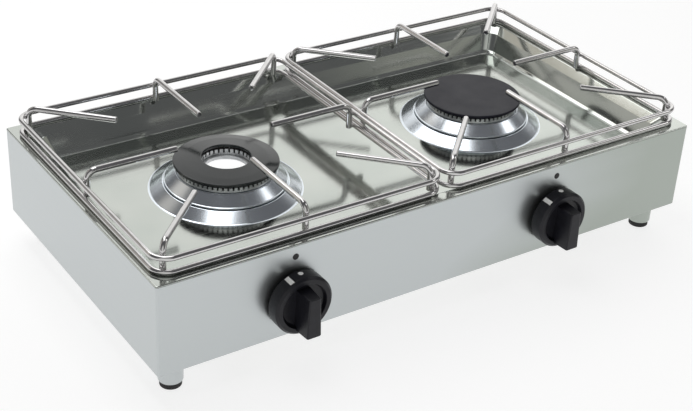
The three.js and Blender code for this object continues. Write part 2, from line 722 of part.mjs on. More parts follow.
// The spring between plug and stem collar, drawn at the length that it has with the knob pressed in.
function tapSpring() {
  const collarRear = COVER_SEAT + COLLAR_THICKNESS + PUSH_TRAVEL;
  const low = collarRear + GAP + SPRING.wire;
  const high = PLUG_FRONT - GAP - SPRING.wire;
  const steps = SPRING.turns * SPRING.stepsPerTurn;
  const points = [];
  for (let i = 0; i <= steps; i += 1) {
    const angle = (i / SPRING.stepsPerTurn) * 2 * Math.PI;
    const y = low + ((high - low) * i) / steps;
    points.push(new THREE.Vector3(SPRING.radius * Math.cos(angle), y, SPRING.radius * Math.sin(angle)));
  }
  return wire(points, roundSection(SPRING.wire, 5));
}

// The stem: a shaft with a flat for the knob, a collar inside the tap and a tang in the plug's slot.
function tapStem() {
  const collarRear = COVER_SEAT + COLLAR_THICKNESS;
  const collarRadius = CHAMBER_RADIUS - 1.6;
  const { thickness, width, depth } = TANG;
  const shaft = rodAlongY(STEM_RADIUS, STEM_FRONT, collarRear, 0, 0);
  const collar = rodAlongY(collarRadius, COVER_SEAT, collarRear, 0, 0, CUP_SIDES);
  const tang = block(
    [-thickness / 2, COVER_SEAT, -width / 2],
    [thickness / 2, PLUG_FRONT + depth, width / 2],
  );
  const flat = block(
    [-STEM_RADIUS, STEM_FRONT - OVERCUT, STEM_RADIUS - STEM_FLAT],
    [STEM_RADIUS, FRONT_FACE - KNOB_STANDOFF, STEM_RADIUS + OVERCUT],
  );
  return cut(join(shaft, collar, tang), flat);
}

function tapCover() {
  const hole = STEM_RADIUS + 0.5;
  const rear = COVER_SEAT - GAP;
  return turned([[hole, COVER_FRONT], [TAP_RADIUS, COVER_FRONT], [TAP_RADIUS, rear], [hole, rear]]);
}

// The grip bar, wider at its lower end, reaching forward from Y = 0.
function knobGrip() {
  const { topWidth, bottomWidth, above, below } = GRIP;
  const corners = [
    [-topWidth / 2, above], [-bottomWidth / 2, -below], [bottomWidth / 2, -below], [topWidth / 2, above],
  ];
  const face = new THREE.Shape(corners.map(([x, z]) => new THREE.Vector2(x, z)));
  const depth = GRIP_FRONT - DIAL_FLOOR + OVERCUT;
  return new THREE.ExtrudeGeometry(face, { depth, bevelEnabled: false }).rotateX(Math.PI / 2);
}

// A dial with a recessed face, and a grip bar across it that stands out towards the front.
function knob() {
  const y = (distance) => FRONT_FACE - distance;
  const { outer, inner, floor } = DIAL_RING;
  const bevel = KNOB_RADIUS - outer;
  const backEdge = 1.2;
  const dial = turned([
    [0, y(DIAL_FLOOR)], [floor, y(DIAL_FLOOR)], [inner, y(DIAL_FRONT)], [outer, y(DIAL_FRONT)],
    [KNOB_RADIUS, y(DIAL_FRONT - bevel)], [KNOB_RADIUS, y(KNOB_STANDOFF + backEdge)],
    [KNOB_RADIUS - backEdge, y(KNOB_STANDOFF)], [0, y(KNOB_STANDOFF)],
  ], CUP_SIDES);
  const grip = knobGrip().translate(0, y(DIAL_FLOOR) + OVERCUT, 0);
  const bore = rodAlongY(STEM_RADIUS + GAP, y(KNOB_BORE_END), y(0), 0, 0);
  return cut(join(dial, grip), bore);
}

for (const { side, sign } of SIDES) {
  const tap = new THREE.Group();
  tap.position.set(tapX(sign), 0, TAP_Z);
  stove.add(tap);
  place(`${side}_tap_body`, tapBody(), BRASS, tap);
  place(`${side}_tap_plug`, tapPlug(), BRASS, tap);
  place(`${side}_tap_spring`, tapSpring(), SPRING_STEEL, tap);
  place(`${side}_tap_stem`, tapStem(), BRASS, tap);
  place(`${side}_tap_cover`, tapCover(), BRASS, tap);
  place(`${side}_knob`, knob(), BLACK_PLASTIC, tap);
}

// ---- pan supports ----------------------------------------------------------------------

// A rounded rectangle of wire, starting and ending at the middle of its +X side.
function wireRing(z) {
  const points = roundedRectangle(RING_HALF_WIDTH, RING_HALF_DEPTH, RING_CORNER, z, BEND_STEPS);
  const start = new THREE.Vector3(RING_HALF_WIDTH, 0, z);
  return wireLoop([start, ...points, start], roundSection(RING_WIRE, WIRE_SIDES));
}

// A post inside the rings that bends over towards the middle of the support.
function finger(reach) {
  const low = RIM_TOP + 1;
  const axis = FINGER_TOP - FINGER_WIRE;
  const points = [new THREE.Vector3(0, 0, low)];
  for (let i = 0; i <= BEND_STEPS; i += 1) {
    const angle = (i / BEND_STEPS) * (Math.PI / 2);
    const x = FINGER_BEND * (1 - Math.cos(angle));
    const z = axis - FINGER_BEND + FINGER_BEND * Math.sin(angle);
    points.push(new THREE.Vector3(x, 0, z));
  }
  points.push(new THREE.Vector3(reach, 0, axis));
  return wire(points, roundSection(FINGER_WIRE, WIRE_SIDES));
}

// Where each finger's post stands and its tip ends, seen from above. A corner post touches the
// middle stretch of the ring's bend, which runs straight between two points of the bend's arc.
function fingerPlan() {
  const inset = RING_WIRE + GAP + FINGER_WIRE;
  const postX = RING_HALF_WIDTH - inset;
  const postY = RING_HALF_DEPTH - inset;
  const bendMiddle = RING_CORNER * Math.cos(Math.PI / (4 * BEND_STEPS));
  const cornerInset = RING_CORNER - (bendMiddle - inset) * Math.SQRT1_2;
  const plan = [
    { name: "left", post: [-postX, 0], tip: [-SIDE_TIP, 0] },
    { name: "right", post: [postX, 0], tip: [SIDE_TIP, 0] },
    { name: "front", post: [0, -postY], tip: [0, -SIDE_TIP] },
    { name: "rear", post: [0, postY], tip: [0, SIDE_TIP] },
  ];
  for (const { row, signY } of ROWS) {
    for (const { side, sign } of SIDES) {
      const post = [sign * (RING_HALF_WIDTH - cornerInset), signY * (RING_HALF_DEPTH - cornerInset)];
      plan.push({ name: `${row}_${side}`, post, tip: [sign * CORNER_TIP.x, signY * CORNER_TIP.y] });
    }
  }
  return plan;
}

for (const { side, sign } of SIDES) {
  const support = new THREE.Group();
  support.position.set(sign * SUPPORT_X, 0, 0);
  stove.add(support);
  const lowerZ = RIM_TOP + GAP + RING_WIRE;
  place(`${side}_support_lower_ring`, wireRing(lowerZ), POLISHED_STEEL, support);
  place(`${side}_support_upper_ring`, wireRing(lowerZ + RING_STEP), POLISHED_STEEL, support);
  for (const { name, post, tip } of fingerPlan()) {
    const run = new THREE.Vector2(tip[0] - post[0], tip[1] - post[1]);
    const mesh = place(`${side}_support_${name}_finger`, finger(run.length()), POLISHED_STEEL, support);
    mesh.position.set(post[0], post[1], 0);
    mesh.rotation.z = run.angle();
  }
}

export default stove;
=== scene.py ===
"""A two-burner gas table stove in stainless steel, on a pale floor in soft studio light.

Lengths here are in millimetres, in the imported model's frame: +Z is up and the front panel faces
-Y. make_piece() turns them into Blender's metres. Only the floor, the lamp and the camera are
given in metres.
"""

import math

import bmesh
import bpy
from mathutils import Matrix, Vector


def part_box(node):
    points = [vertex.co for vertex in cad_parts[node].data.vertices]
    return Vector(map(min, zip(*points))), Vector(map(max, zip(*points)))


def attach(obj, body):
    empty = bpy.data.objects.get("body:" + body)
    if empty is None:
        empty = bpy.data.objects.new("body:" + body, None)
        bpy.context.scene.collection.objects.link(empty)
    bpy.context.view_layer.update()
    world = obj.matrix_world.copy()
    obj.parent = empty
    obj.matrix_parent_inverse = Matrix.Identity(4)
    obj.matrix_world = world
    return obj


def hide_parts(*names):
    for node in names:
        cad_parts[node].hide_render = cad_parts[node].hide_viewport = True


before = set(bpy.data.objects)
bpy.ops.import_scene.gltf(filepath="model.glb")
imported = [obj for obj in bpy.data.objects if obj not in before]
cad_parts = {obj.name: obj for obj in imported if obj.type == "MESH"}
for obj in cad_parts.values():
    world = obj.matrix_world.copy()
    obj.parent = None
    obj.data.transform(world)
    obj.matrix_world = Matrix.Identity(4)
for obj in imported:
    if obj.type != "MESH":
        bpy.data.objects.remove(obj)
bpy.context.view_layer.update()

# ---- driving dimensions ---------------------------------------------------------------------

MM = 0.001


def node_box(node):
    """Lowest and highest corner of a CAD node, in millimetres."""
    low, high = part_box(node)
    return low / MM, high / MM


def node_middle(node):
    low, high = node_box(node)
    return (low + high) / 2


HALF_WIDTH, HALF_DEPTH, RIM_TOP = node_box("hob_tray")[1]
BODY_BOTTOM = node_box("housing")[0].z
WALL_TOP = node_box("housing")[1].z
SHEET = 1.2

# The tray: how deep its floor lies, and the corners of its section as inset from the body's edge,
# drop below the rim and bend radius.
WELL_DEPTH = 28
TRAY_SECTION = [
    (12, 0, 2.5),
    (19.5, 8, 2),
    (27, 25, 2),
    (30.5, WELL_DEPTH, 5),
    (36, WELL_DEPTH, 0),
]
RIM_CORNER = 1.6
WELL_CORNER = 16
FLOOR = RIM_TOP - WELL_DEPTH

# The two raised domes in the tray's floor, as radii and a height.
DOME_BASE = 72.2
DOME_BEND = 1.5
DOME_TOP_RADIUS = 60
DOME_HOLE = 44.5
DOME_HEIGHT = 8

# The housing's bottom flange, which is narrower between the feet, and its holes.
FLANGE = 34
RELIEF_HALF_LENGTH = 240
RELIEF_WIDTH = 4
STEM_HOLE = 5.5
INLET_HOLE = 10.6

# Radii of the burners: the cup's outside and inside, the collar's foot, the crown's edge and foot,
# and the passage through the ring burner, with the cup's lip and the crown's wall round it.
CUP_OUTER = 42.5
CUP_INNER = 39
COLLAR_FOOT = 59
CROWN_OUTER = 46.3
CROWN_FOOT = (36, 38.4)
RING_PASSAGE = 20.5
PASSAGE_LIP = 23
PASSAGE_SEAT = 26.5
PASSAGE_WALL = (23.6, 26.1)
MIXING_TUBE = 9.5
MIXING_BORE = 6.5
CAP_THICKNESS = 2.8

# Rows of teeth on a crown: how many, inner and outer radius, and width. In each pair the pale row
# stands in front, where the flames leave, and the dark one behind it, near-black as painted shade
# for the gap under the cap.
OUTER_ROWS = {"pale": (60, 44.3, 46.2, 3.1), "dark": (60, 42.2, 44.6, 4.1)}
INNER_ROWS = {"pale": (30, 23.7, 24.8, 3.2), "dark": (30, 24.6, 26, 4.4)}

# Taps, as radii round their axes.
TAP_BARREL = 13
TAP_BORE = 9.2
SPRING_RADIUS = 6.4
SPRING_WIRE = 0.6
SPRING_COILS = 4

# Knobs: radii, distances in front of the panel, the grip's half widths at its upper and lower end,
# its half length and how far its middle lies above the axis, the lean of the printed bar in
# degrees, and how far the panel's mark lies above the axis.
KNOB_RADIUS = 28.7
DIAL_RIM = 22.2
KNOB_GAP = 3.5
DIAL_FACE = 14
DIAL_FRONT = 18
GRIP_FRONT = 34
GRIP_HALF_WIDTHS = (6.9, 8.6)
GRIP_HALF_LENGTH = 20.2
GRIP_SHIFT = -3.55
BAR_ANGLE = {"left": -25, "right": -37}
PANEL_MARK_RISE = 41

# Pan supports: the rings' corners, the fingers' wire and bend, and the weld beads.
RING_CORNER = 16
FINGER_RADIUS = 3
FINGER_BEND = 9
BEAD_SIZE = 1.7

SIDES = {"left": -1, "right": 1}
ROWS = {"front": -1, "rear": 1}

# The angle in degrees between two faces from which their edge is drawn sharp.
SHARP_ANGLE = 35


def burner_centre(side):
    return node_middle(f"{side}_burner_collar")


def at_burner(side):
    centre = burner_centre(side)
    return Matrix.Translation((centre.x, centre.y, 0))


def tap_axis(side):
    """A point on the axis, along Y, that a side's tap, knob and mixing tube share."""
    return node_middle(f"{side}_tap_cover")


# ---- shape helpers --------------------------------------------------------------------------


class Shape:
    """Faces gathered into one mesh. Each face keeps the number of its material."""

    def __init__(self):
        self.points = []
        self.faces = []
        self.finishes = []

    def add(self, surface, place=Matrix(), finish=0):
        points, faces = surface
        first = len(self.points)
        self.points += [place @ Vector(point) for point in points]
        self.faces += [[first + corner for corner in face] for face in faces]
        self.finishes += [finish] * len(faces)
        return self


def soften(corners, closed=True, steps=4):
    """Rounds an outline's or a route's corners. Each corner is its coordinates, then a radius."""
    rounded = []
    for i, corner in enumerate(corners):
        here = Vector(corner[:-1])
        radius = corner[-1]
        at_end = not closed and i in (0, len(corners) - 1)
        if at_end or radius == 0:
            rounded.append(here)
            continue
        back = (Vector(corners[i - 1][:-1]) - here).normalized()
        onward = (Vector(corners[(i + 1) % len(corners)][:-1]) - here).normalized()
        half = back.angle(onward) / 2
        middle = here + (back + onward).normalized() * radius / math.sin(half)
        start = here + back * radius / math.tan(half) - middle
        end = here + onward * radius / math.tan(half) - middle
        sweep = start.angle(end)
        across = (end - start * math.cos(sweep)) / math.sin(sweep)
        for step in range(steps + 1):
            angle = sweep * step / steps
            rounded.append(middle + start * math.cos(angle) + across * math.sin(angle))
    return rounded


def join_rings(rings, count, closed):
    """Faces between rings of point numbers. A ring of one repeated point is a pole."""
    faces = []
    pairs = list(zip(rings, rings[1:]))
    if closed:
        pairs.append((rings[-1], rings[0]))
    for low, high in pairs:
        for i in range(count):
            j = (i + 1) % count
            corners = list(dict.fromkeys([low[i], low[j], high[j], high[i]]))
            if len(corners) > 2:
                faces.append(corners)
    return faces


def revolve(outline, sides, closed=True):
    """Turns an outline of (radius, height) about Z, counter-clockwise for faces that look out."""
    points, rings = [], []
    for radius, height in outline:
        first = len(points)
        if radius < 1e-6:
            points.append((0, 0, height))
            rings.append([first] * sides)
            continue
        for i in range(sides):
            angle = 2 * math.pi * i / sides
            points.append((radius * math.cos(angle), radius * math.sin(angle), height))
        rings.append(list(range(first, first + sides)))
    return points, join_rings(rings, sides, closed)


def rectangle_ring(half_x, half_y, corner, z, steps):
    """Points of a rounded rectangle at one height, counter-clockwise."""
    corners = [
        (half_x, half_y, z, corner),
        (-half_x, half_y, z, corner),
        (-half_x, -half_y, z, corner),
        (half_x, -half_y, z, corner),
    ]
    return soften(corners, steps=steps)


def loft(sections, closed):
    """A surface through rings that all have the same number of points."""
    count = len(sections[0])
    points = [point for section in sections for point in section]
    rings = [list(range(k * count, (k + 1) * count)) for k in range(len(sections))]
    return points, join_rings(rings, count, closed)


def tube(route, radius, closed=False, sides=20, rounding=0.35):
    """Round wire along a route of points. Rounding is the radius of an open wire's end edges."""
    route = [Vector(point) for point in route]
    last = len(route) - 1
    tangents = []
    for i in range(len(route)):
        before = route[i - 1] if i > 0 or closed else route[0]
        after = route[(i + 1) % len(route)] if i < last or closed else route[last]
        tangents.append((after - before).normalized())
    stations = [(point, tangent, radius) for point, tangent in zip(route, tangents)]
    if not closed:
        edge = radius * rounding
        steps = 3
        for at_start in (True, False):
            tip, tangent, _ = stations.pop(0 if at_start else -1)
            inward = tangent if at_start else -tangent
            turns = []
            for step in range(steps + 1):
                angle = math.pi / 2 * step / steps
                place = tip + inward * edge * (1 - math.cos(angle))
                turns.append((place, tangent, radius - edge + edge * math.sin(angle)))
            stations = turns + stations if at_start else stations + turns[::-1]
    points, rings = [], []
    normal = stations[0][1].orthogonal().normalized()
    for index, (place, tangent, size) in enumerate(stations):
        if index:
            normal.rotate(stations[index - 1][1].rotation_difference(tangent))
        side = tangent.cross(normal)
        rings.append(list(range(len(points), len(points) + sides)))
        for i in range(sides):
            angle = 2 * math.pi * i / sides
            points.append(place + (normal * math.cos(angle) + side * math.sin(angle)) * size)
    faces = join_rings(rings, sides, closed)
    if not closed:
        faces += [rings[0][::-1], rings[-1]]
    return points, faces


def slab(outline, low, high, edge, steps=3):
    """A plate with rounded edges between two heights. Its outline in XY is counter-clockwise."""
    section = []
    for step in range(steps + 1):
        angle = math.pi / 2 * step / steps
        section.append((edge * (1 - math.sin(angle)), low + edge * (1 - math.cos(angle))))
    levels = section + [(inset, low + high - z) for inset, z in reversed(section)]
    count = len(outline)
    rings = []
    for inset, z in levels:
        ring = []
        for i in range(count):
            here = Vector(outline[i])
            back = (Vector(outline[i - 1]) - here).normalized()
            onward = (Vector(outline[(i + 1) % count]) - here).normalized()
            along = onward - back
            inward = Vector((-along.y, along.x)).normalized()
            ring.append((*(here + inward * inset), z))
        rings.append(ring)
    points, faces = loft(rings, closed=False)
    top = (len(levels) - 1) * count
    faces.append(list(range(count))[::-1])
    faces.append([top + i for i in range(count)])
    return points, faces


def make_piece(name, shape, finish, body, replaces=(), sharp=SHARP_ANGLE, skin=0):
    """Turns a shape into an object that rides on a CAD body. A skin thickens an open sheet."""
    mesh = bpy.data.meshes.new(name)
    mesh.from_pydata([point * MM for point in shape.points], [], shape.faces)
    finishes = finish if isinstance(finish, list) else [finish]
    for material in finishes:
        mesh.materials.append(material)
    for polygon, number in zip(mesh.polygons, shape.finishes):
        polygon.material_index = number
    edit = bmesh.new()
    edit.from_mesh(mesh)
    bmesh.ops.remove_doubles(edit, verts=edit.verts, dist=1e-6)
    if not skin:
        bmesh.ops.recalc_face_normals(edit, faces=edit.faces)
    edit.to_mesh(mesh)
    edit.free()
    mesh.shade_smooth()
    mesh.set_sharp_from_angle(angle=math.radians(sharp))
    piece = bpy.data.objects.new(name, mesh)
    bpy.context.scene.collection.objects.link(piece)
    if skin:
        solidify = piece.modifiers.new("sheet", "SOLIDIFY")
        solidify.thickness = skin * MM
        solidify.offset = -1
    normals = piece.modifiers.new("face weighted normals", "WEIGHTED_NORMAL")
    normals.keep_sharp = True
    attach(piece, body)
    if replaces:
        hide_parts(*replaces)
    return piece


def make_stove_piece(node, shape, finish):
    """Makes the fine piece that stands for one CAD node of the stove's fixed body."""
    return make_piece(f"fine_{node}", shape, finish, "stove", [node])


def bore(piece, *cutters):
    """Cuts closed surfaces out of a piece's mesh. Its other modifiers rest meanwhile."""
    for number, (points, faces) in enumerate(cutters):
        mesh = bpy.data.meshes.new("cutter")
        mesh.from_pydata([Vector(point) * MM for point in points], [], faces)
        cutter = bpy.data.objects.new("cutter", mesh)
        bpy.context.scene.collection.objects.link(cutter)
        difference = piece.modifiers.new(f"bore {number}", "BOOLEAN")
        difference.operation = "DIFFERENCE"
        difference.solver = "EXACT"
        difference.object = cutter
        piece.modifiers.move(len(piece.modifiers) - 1, 0)
        graph = bpy.context.evaluated_depsgraph_get()
        for modifier in piece.modifiers:
            modifier.show_viewport = modifier == difference
        bpy.context.view_layer.update()
        cut = bpy.data.meshes.new_from_object(piece.evaluated_get(graph))
        piece.modifiers.remove(difference)
        for modifier in piece.modifiers:
            modifier.show_viewport = True
        piece.data = cut
        bpy.data.objects.remove(cutter)
    piece.data.set_sharp_from_angle(angle=math.radians(SHARP_ANGLE))


def along_y(x, z, y=0):
    """Lays a shape that was turned about Z along Y: its top end points to the rear."""
    return Matrix.Translation((x, y, z)) @ Matrix.Rotation(-math.pi / 2, 4, "X")


def rod(radius, low, high, sides=48):
    return revolve([(0, low), (radius, low), (radius, high), (0, high)], sides)


# ---- materials ------------------------------------------------------------------------------

# The part of a noise texture's range, 0 to 1, that most of its values lie in.
NOISE_LOW = 0.3
NOISE_HIGH = 0.7

# A mix node's colour sockets, by number, because its other types share their names.
MIX_FACTOR, MIX_FIRST, MIX_SECOND, MIX_RESULT = 0, 6, 7, 2


class Finish:
    """A material built round one Principled shader, with short calls for its texture nodes."""

    def __init__(self, name, metallic=0.0):
        self.material = bpy.data.materials.new(name)
        self.material.use_nodes = True
        self.nodes = self.material.node_tree.nodes
        self.links = self.material.node_tree.links
        self.shader = self.nodes["Principled BSDF"]
        self.coordinates = self.nodes.new("ShaderNodeTexCoord").outputs["Object"]
        self.relief = None
        self.set("Metallic", metallic)

    def set(self, socket, value):
        """Gives one of the shader's sockets the same value everywhere."""
        self.shader.inputs[socket].default_value = value
        return self

    def axis(self, name):
        """The place on the object along X, Y or Z, in metres."""
        split = self.nodes.new("ShaderNodeSeparateXYZ")
        self.links.new(self.coordinates, split.inputs["Vector"])
        return split.outputs[name]

    def noise(self, scale, stretch=(1, 1, 1), detail=3.0):
        """Noise with a scale per metre, squeezed along each axis by its stretch."""
        mapping = self.nodes.new("ShaderNodeMapping")
        mapping.inputs["Scale"].default_value = stretch
        self.links.new(self.coordinates, mapping.inputs["Vector"])
        texture = self.nodes.new("ShaderNodeTexNoise")
        texture.inputs["Scale"].default_value = scale
        texture.inputs["Detail"].default_value = detail
        self.links.new(mapping.outputs["Vector"], texture.inputs["Vector"])
        return texture.outputs["Fac"]

    def spread(self, source, low, high):
        """Stretches the middle of a texture's range over two numbers, and stops at them."""
        stretch = self.nodes.new("ShaderNodeMapRange")
        stretch.inputs["From Min"].default_value = NOISE_LOW
        stretch.inputs["From Max"].default_value = NOISE_HIGH
        stretch.inputs["To Min"].default_value = low
        stretch.inputs["To Max"].default_value = high
        self.links.new(source, stretch.inputs["Value"])
        return stretch.outputs["Result"]

    def gloss(self, source, low, high):
        """Drives the roughness from a texture, between two values."""
        self.links.new(self.spread(source, low, high), self.shader.inputs["Roughness"])
        return self

    def tint(self, source, low, high):
        """Drives the base colour from a texture, between two colours."""
        mix = self.nodes.new("ShaderNodeMix")
        mix.data_type = "RGBA"
        mix.inputs[MIX_FIRST].default_value = (*low, 1)
        mix.inputs[MIX_SECOND].default_value = (*high, 1)
        self.links.new(self.spread(source, 0, 1), mix.inputs[MIX_FACTOR])
        self.links.new(mix.outputs[MIX_RESULT], self.shader.inputs["Base Color"])
        return self

    def bump(self, source, depth, strength):
        """Adds relief: depth is in millimetres. Later calls lie on top of earlier ones."""
        bump = self.nodes.new("ShaderNodeBump")
        bump.inputs["Distance"].default_value = depth * MM
        bump.inputs["Strength"].default_value = strength
        self.links.new(source, bump.inputs["Height"])
        if self.relief:
            self.links.new(self.relief, bump.inputs["Normal"])
        self.relief = bump.outputs["Normal"]
        self.links.new(self.relief, self.shader.inputs["Normal"])
        return self

    def spun(self, amount):
        """Turns the gloss round the burner that the surface belongs to, as on spun metal."""
        centre = burner_centre("right") * MM
        x, y = self.axis("X"), self.axis("Y")
        middle_x = self.math("MULTIPLY", self.math("SIGN", x), centre.x)
        from_x = self.math("SUBTRACT", x, middle_x)
        from_y = self.math("SUBTRACT", y, centre.y)
        tangent = self.nodes.new("ShaderNodeCombineXYZ")
        self.links.new(self.math("MULTIPLY", from_y, -1), tangent.inputs["X"])
        self.links.new(from_x, tangent.inputs["Y"])
        self.links.new(tangent.outputs["Vector"], self.shader.inputs["Tangent"])
        return self.set("Anisotropic", amount)

    def math(self, operation, first, second=None):
        """Arithmetic on a socket, alone or with a second socket or a number."""
        node = self.nodes.new("ShaderNodeMath")
        node.operation = operation
        self.links.new(first, node.inputs[0])
        if isinstance(second, (int, float)):
            node.inputs[1].default_value = second
        elif second is not None:
            self.links.new(second, node.inputs[1])
        return node.outputs[0]


def brushed_steel():
    """Satin stainless with brushing too fine to see. Its colour carries painted shade: it is darker
    towards the right-hand end.
    """
    finish = Finish("brushed_stainless", metallic=1)
    # Painted shade: the base colour darkens along X towards the right-hand end, on top of the
    # random cloud.
    painted_shade_length, painted_shade_start = 0.6, 0.23
    along = finish.math("DIVIDE", finish.axis("X"), painted_shade_length)
    painted_shade_ramp = finish.math("SUBTRACT", along, painted_shade_start)
    cloud = finish.noise(1, (2.5, 2.5, 9), detail=2)
    finish.tint(finish.math("ADD", painted_shade_ramp, cloud), (0.54, 0.57, 0.575), (0.40, 0.435, 0.40))
    return finish.gloss(finish.noise(1, (7, 7, 2200), detail=4), 0.31, 0.36).material


def tray_steel():
    """Satin-polished sheet with the faint waviness that pressing leaves."""
    finish = Finish("polished_tray", metallic=1)
    finish.tint(finish.noise(14, detail=2), (0.50, 0.53, 0.50), (0.56, 0.58, 0.55))
    finish.gloss(finish.noise(1, (12, 900, 900)), 0.09, 0.15)
    return finish.bump(finish.noise(9, detail=1), 0.3, 0.3).material


def spun_steel():
    """Polished cones, turned on a spindle."""
    finish = Finish("spun_stainless", metallic=1)
    finish.tint(finish.noise(25, detail=2), (0.73, 0.78, 0.83), (0.77, 0.82, 0.87))
    finish.gloss(finish.noise(1400, detail=2), 0.155, 0.185)
    return finish.spun(0.7).material


def wire_steel():
    finish = Finish("polished_wire", metallic=1)
    finish.tint(finish.noise(120, detail=2), (0.57, 0.56, 0.56), (0.63, 0.62, 0.62))
    finish.gloss(finish.noise(260), 0.06, 0.11)
    return finish.bump(finish.noise(60, detail=2), 0.05, 0.3).material


def cast_aluminium():
    finish = Finish("cast_aluminium", metallic=1)
    finish.tint(finish.noise(90), (0.62, 0.63, 0.64), (0.76, 0.77, 0.78))
    finish.gloss(finish.noise(500), 0.32, 0.48)
    return finish.bump(finish.noise(1500), 0.05, 0.4).material


def painted_shade_aluminium():
    """Near-black aluminium: painted shade for the shadowed gap under a burner's cap."""
    finish = Finish("painted_shade_aluminium")
    finish.tint(finish.noise(400), (0.006, 0.006, 0.006), (0.024, 0.021, 0.019))
    finish.bump(finish.noise(1500), 0.05, 0.5)
    finish.set("Roughness", 0.75)
    return finish.set("Specular IOR Level", 0.2).material


def enamel(name, low, high, roughness, shine):
    """Dark enamel between two colours, with a fine orange peel."""
    finish = Finish(name)
    finish.tint(finish.noise(900, detail=2), low, high)
    finish.gloss(finish.noise(60, detail=2), roughness - 0.04, roughness + 0.04)
    finish.bump(finish.noise(700, detail=2), 0.03, 0.25)
    return finish.set("Specular IOR Level", shine).material


def moulded_plastic():
    finish = Finish("moulded_black")
    finish.tint(finish.noise(120), (0.008, 0.008, 0.011), (0.013, 0.013, 0.018))
    finish.gloss(finish.noise(300), 0.30, 0.38)
    finish.bump(finish.noise(2200, detail=2), 0.02, 0.4)
    return finish.set("Specular IOR Level", 0.28).material


def rubber():
    finish = Finish("black_rubber_feet")
    finish.tint(finish.noise(200), (0.010, 0.010, 0.010), (0.022, 0.022, 0.022))
    finish.bump(finish.noise(1800), 0.05, 0.6)
    return finish.set("Roughness", 0.75).material


def brass():
    finish = Finish("turned_brass", metallic=1)
    finish.tint(finish.noise(80), (0.58, 0.40, 0.17), (0.72, 0.53, 0.25))
    return finish.gloss(finish.noise(400), 0.22, 0.38).material


def spring_steel():
    finish = Finish("spring_wire", metallic=1)
    finish.set("Base Color", (0.4, 0.41, 0.43, 1))
    return finish.gloss(finish.noise(500), 0.24, 0.36).material


def print_paint(name, colour):
    """Printed paint, a little uneven."""
    finish = Finish(name)
    darker = tuple(channel * 0.85 for channel in colour)
    return finish.tint(finish.noise(700), darker, colour).material


BRUSHED = brushed_steel()
TRAY = tray_steel()
SPUN = spun_steel()
WIRE = wire_steel()
ALUMINIUM = cast_aluminium()
# Painted shade: near-black for the crown's taller teeth, where the gap under the cap lies in
# shadow.
SHADE_ALUMINIUM = painted_shade_aluminium()
RING_ENAMEL = enamel("grey_enamel", (0.012, 0.015, 0.016), (0.020, 0.024, 0.025), 0.15, 0.5)
CAP_ENAMEL = enamel("matte_enamel", (0.012, 0.012, 0.020), (0.018, 0.018, 0.028), 0.42, 0.2)
PLASTIC = moulded_plastic()
RUBBER = rubber()
BRASS = brass()
SPRING = spring_steel()
WHITE_PRINT = print_paint("white_print", (0.95, 0.95, 0.93))
BLACK_PRINT = print_paint("black_print", (0.012, 0.012, 0.012))

# ---- housing and hob tray -------------------------------------------------------------------


def hole_cutter(radius, centre, wall_y):
    """A plug that cuts a round hole through the front panel or the rear wall."""
    reach = 4
    points, faces = rod(radius, -reach, reach)
    place = along_y(centre.x, centre.z, wall_y)
    return [place @ Vector(point) for point in points], faces


def housing():
    """Four walls with a flange turned in at the bottom, as one folded sheet."""
    bend, flange_edge, wall_edge = 1.8, 0.3, 0.25
    low, high = BODY_BOTTOM, WALL_TOP
    section = soften(
        [
            (FLANGE, low, flange_edge),
            (0, low, bend),
            (0, high, wall_edge),
            (SHEET, high, wall_edge),
            (SHEET, low + SHEET, bend - SHEET + 0.2),
            (FLANGE, low + SHEET, flange_edge),
        ]
    )
    outer_corner, inner_corner = 2, 0.5
    rings = []
    for inset, z in section:
        corner = max(outer_corner - inset, inner_corner)
        rings.append(rectangle_ring(HALF_WIDTH - inset, HALF_DEPTH - inset, corner, z, steps=5))
    shape = Shape().add(loft(rings, closed=True))
    piece = make_stove_piece("housing", shape, BRUSHED)
    holes = [hole_cutter(STEM_HOLE, tap_axis(side), -HALF_DEPTH) for side in SIDES]
    holes.append(hole_cutter(INLET_HOLE, node_middle("gas_inlet"), HALF_DEPTH))
    relief = rectangle_ring(RELIEF_HALF_LENGTH, HALF_DEPTH - RELIEF_WIDTH, 4, 0, steps=4)
    outline = [point.xy for point in relief]
    bore(piece, *holes, slab(outline, low - 2, low + 4, edge=0.5, steps=1))


def tray_corner(inset):
    """The tray's corner radius at an inset: tight at the rim's edge, round in the well."""
    mouth = TRAY_SECTION[0][0]
    if inset < 2:
        return RIM_CORNER
    return WELL_CORNER - max(inset - mouth, 0) * 0.2


def tray_ring(inset, drop):
    """The tray's outline at one point of its section."""
    return rectangle_ring(
        HALF_WIDTH - inset, HALF_DEPTH - inset, tray_corner(inset), RIM_TOP - drop, steps=12
    )


def tray_walls():
    """The rim's turned-down edge, the rim and the sloping walls."""
    corners = [(0, SHEET, 0), (0, 0, 0.9), *TRAY_SECTION]
    section = soften(corners, closed=False, steps=6)
    return loft([tray_ring(inset, drop) for inset, drop in section], closed=False)


def dome():
    """A raised cone in the floor, from the bend at its base to its hole."""
    top = FLOOR + DOME_HEIGHT
    outline = soften(
        [
            (DOME_BASE + DOME_BEND, FLOOR, 0),
            (DOME_BASE, FLOOR, 4),
            (DOME_TOP_RADIUS, top, 1.6),
            (DOME_HOLE, top, 0),
        ],
        closed=False,
        steps=6,
    )
    return revolve(outline, sides=96, closed=False)


def hob_tray():
    """The pressed sheet: walls and floor in satin steel, the two domes spun."""
    shape = Shape().add(tray_walls())
    for side in SIDES:
        shape.add(dome(), at_burner(side), finish=1)
    shape.add(well_floor())
    make_piece(
        "fine_hob_tray",
        shape,
        [TRAY, SPUN],
        "stove",
        ["hob_tray"],
        sharp=60,
        skin=SHEET,
    )


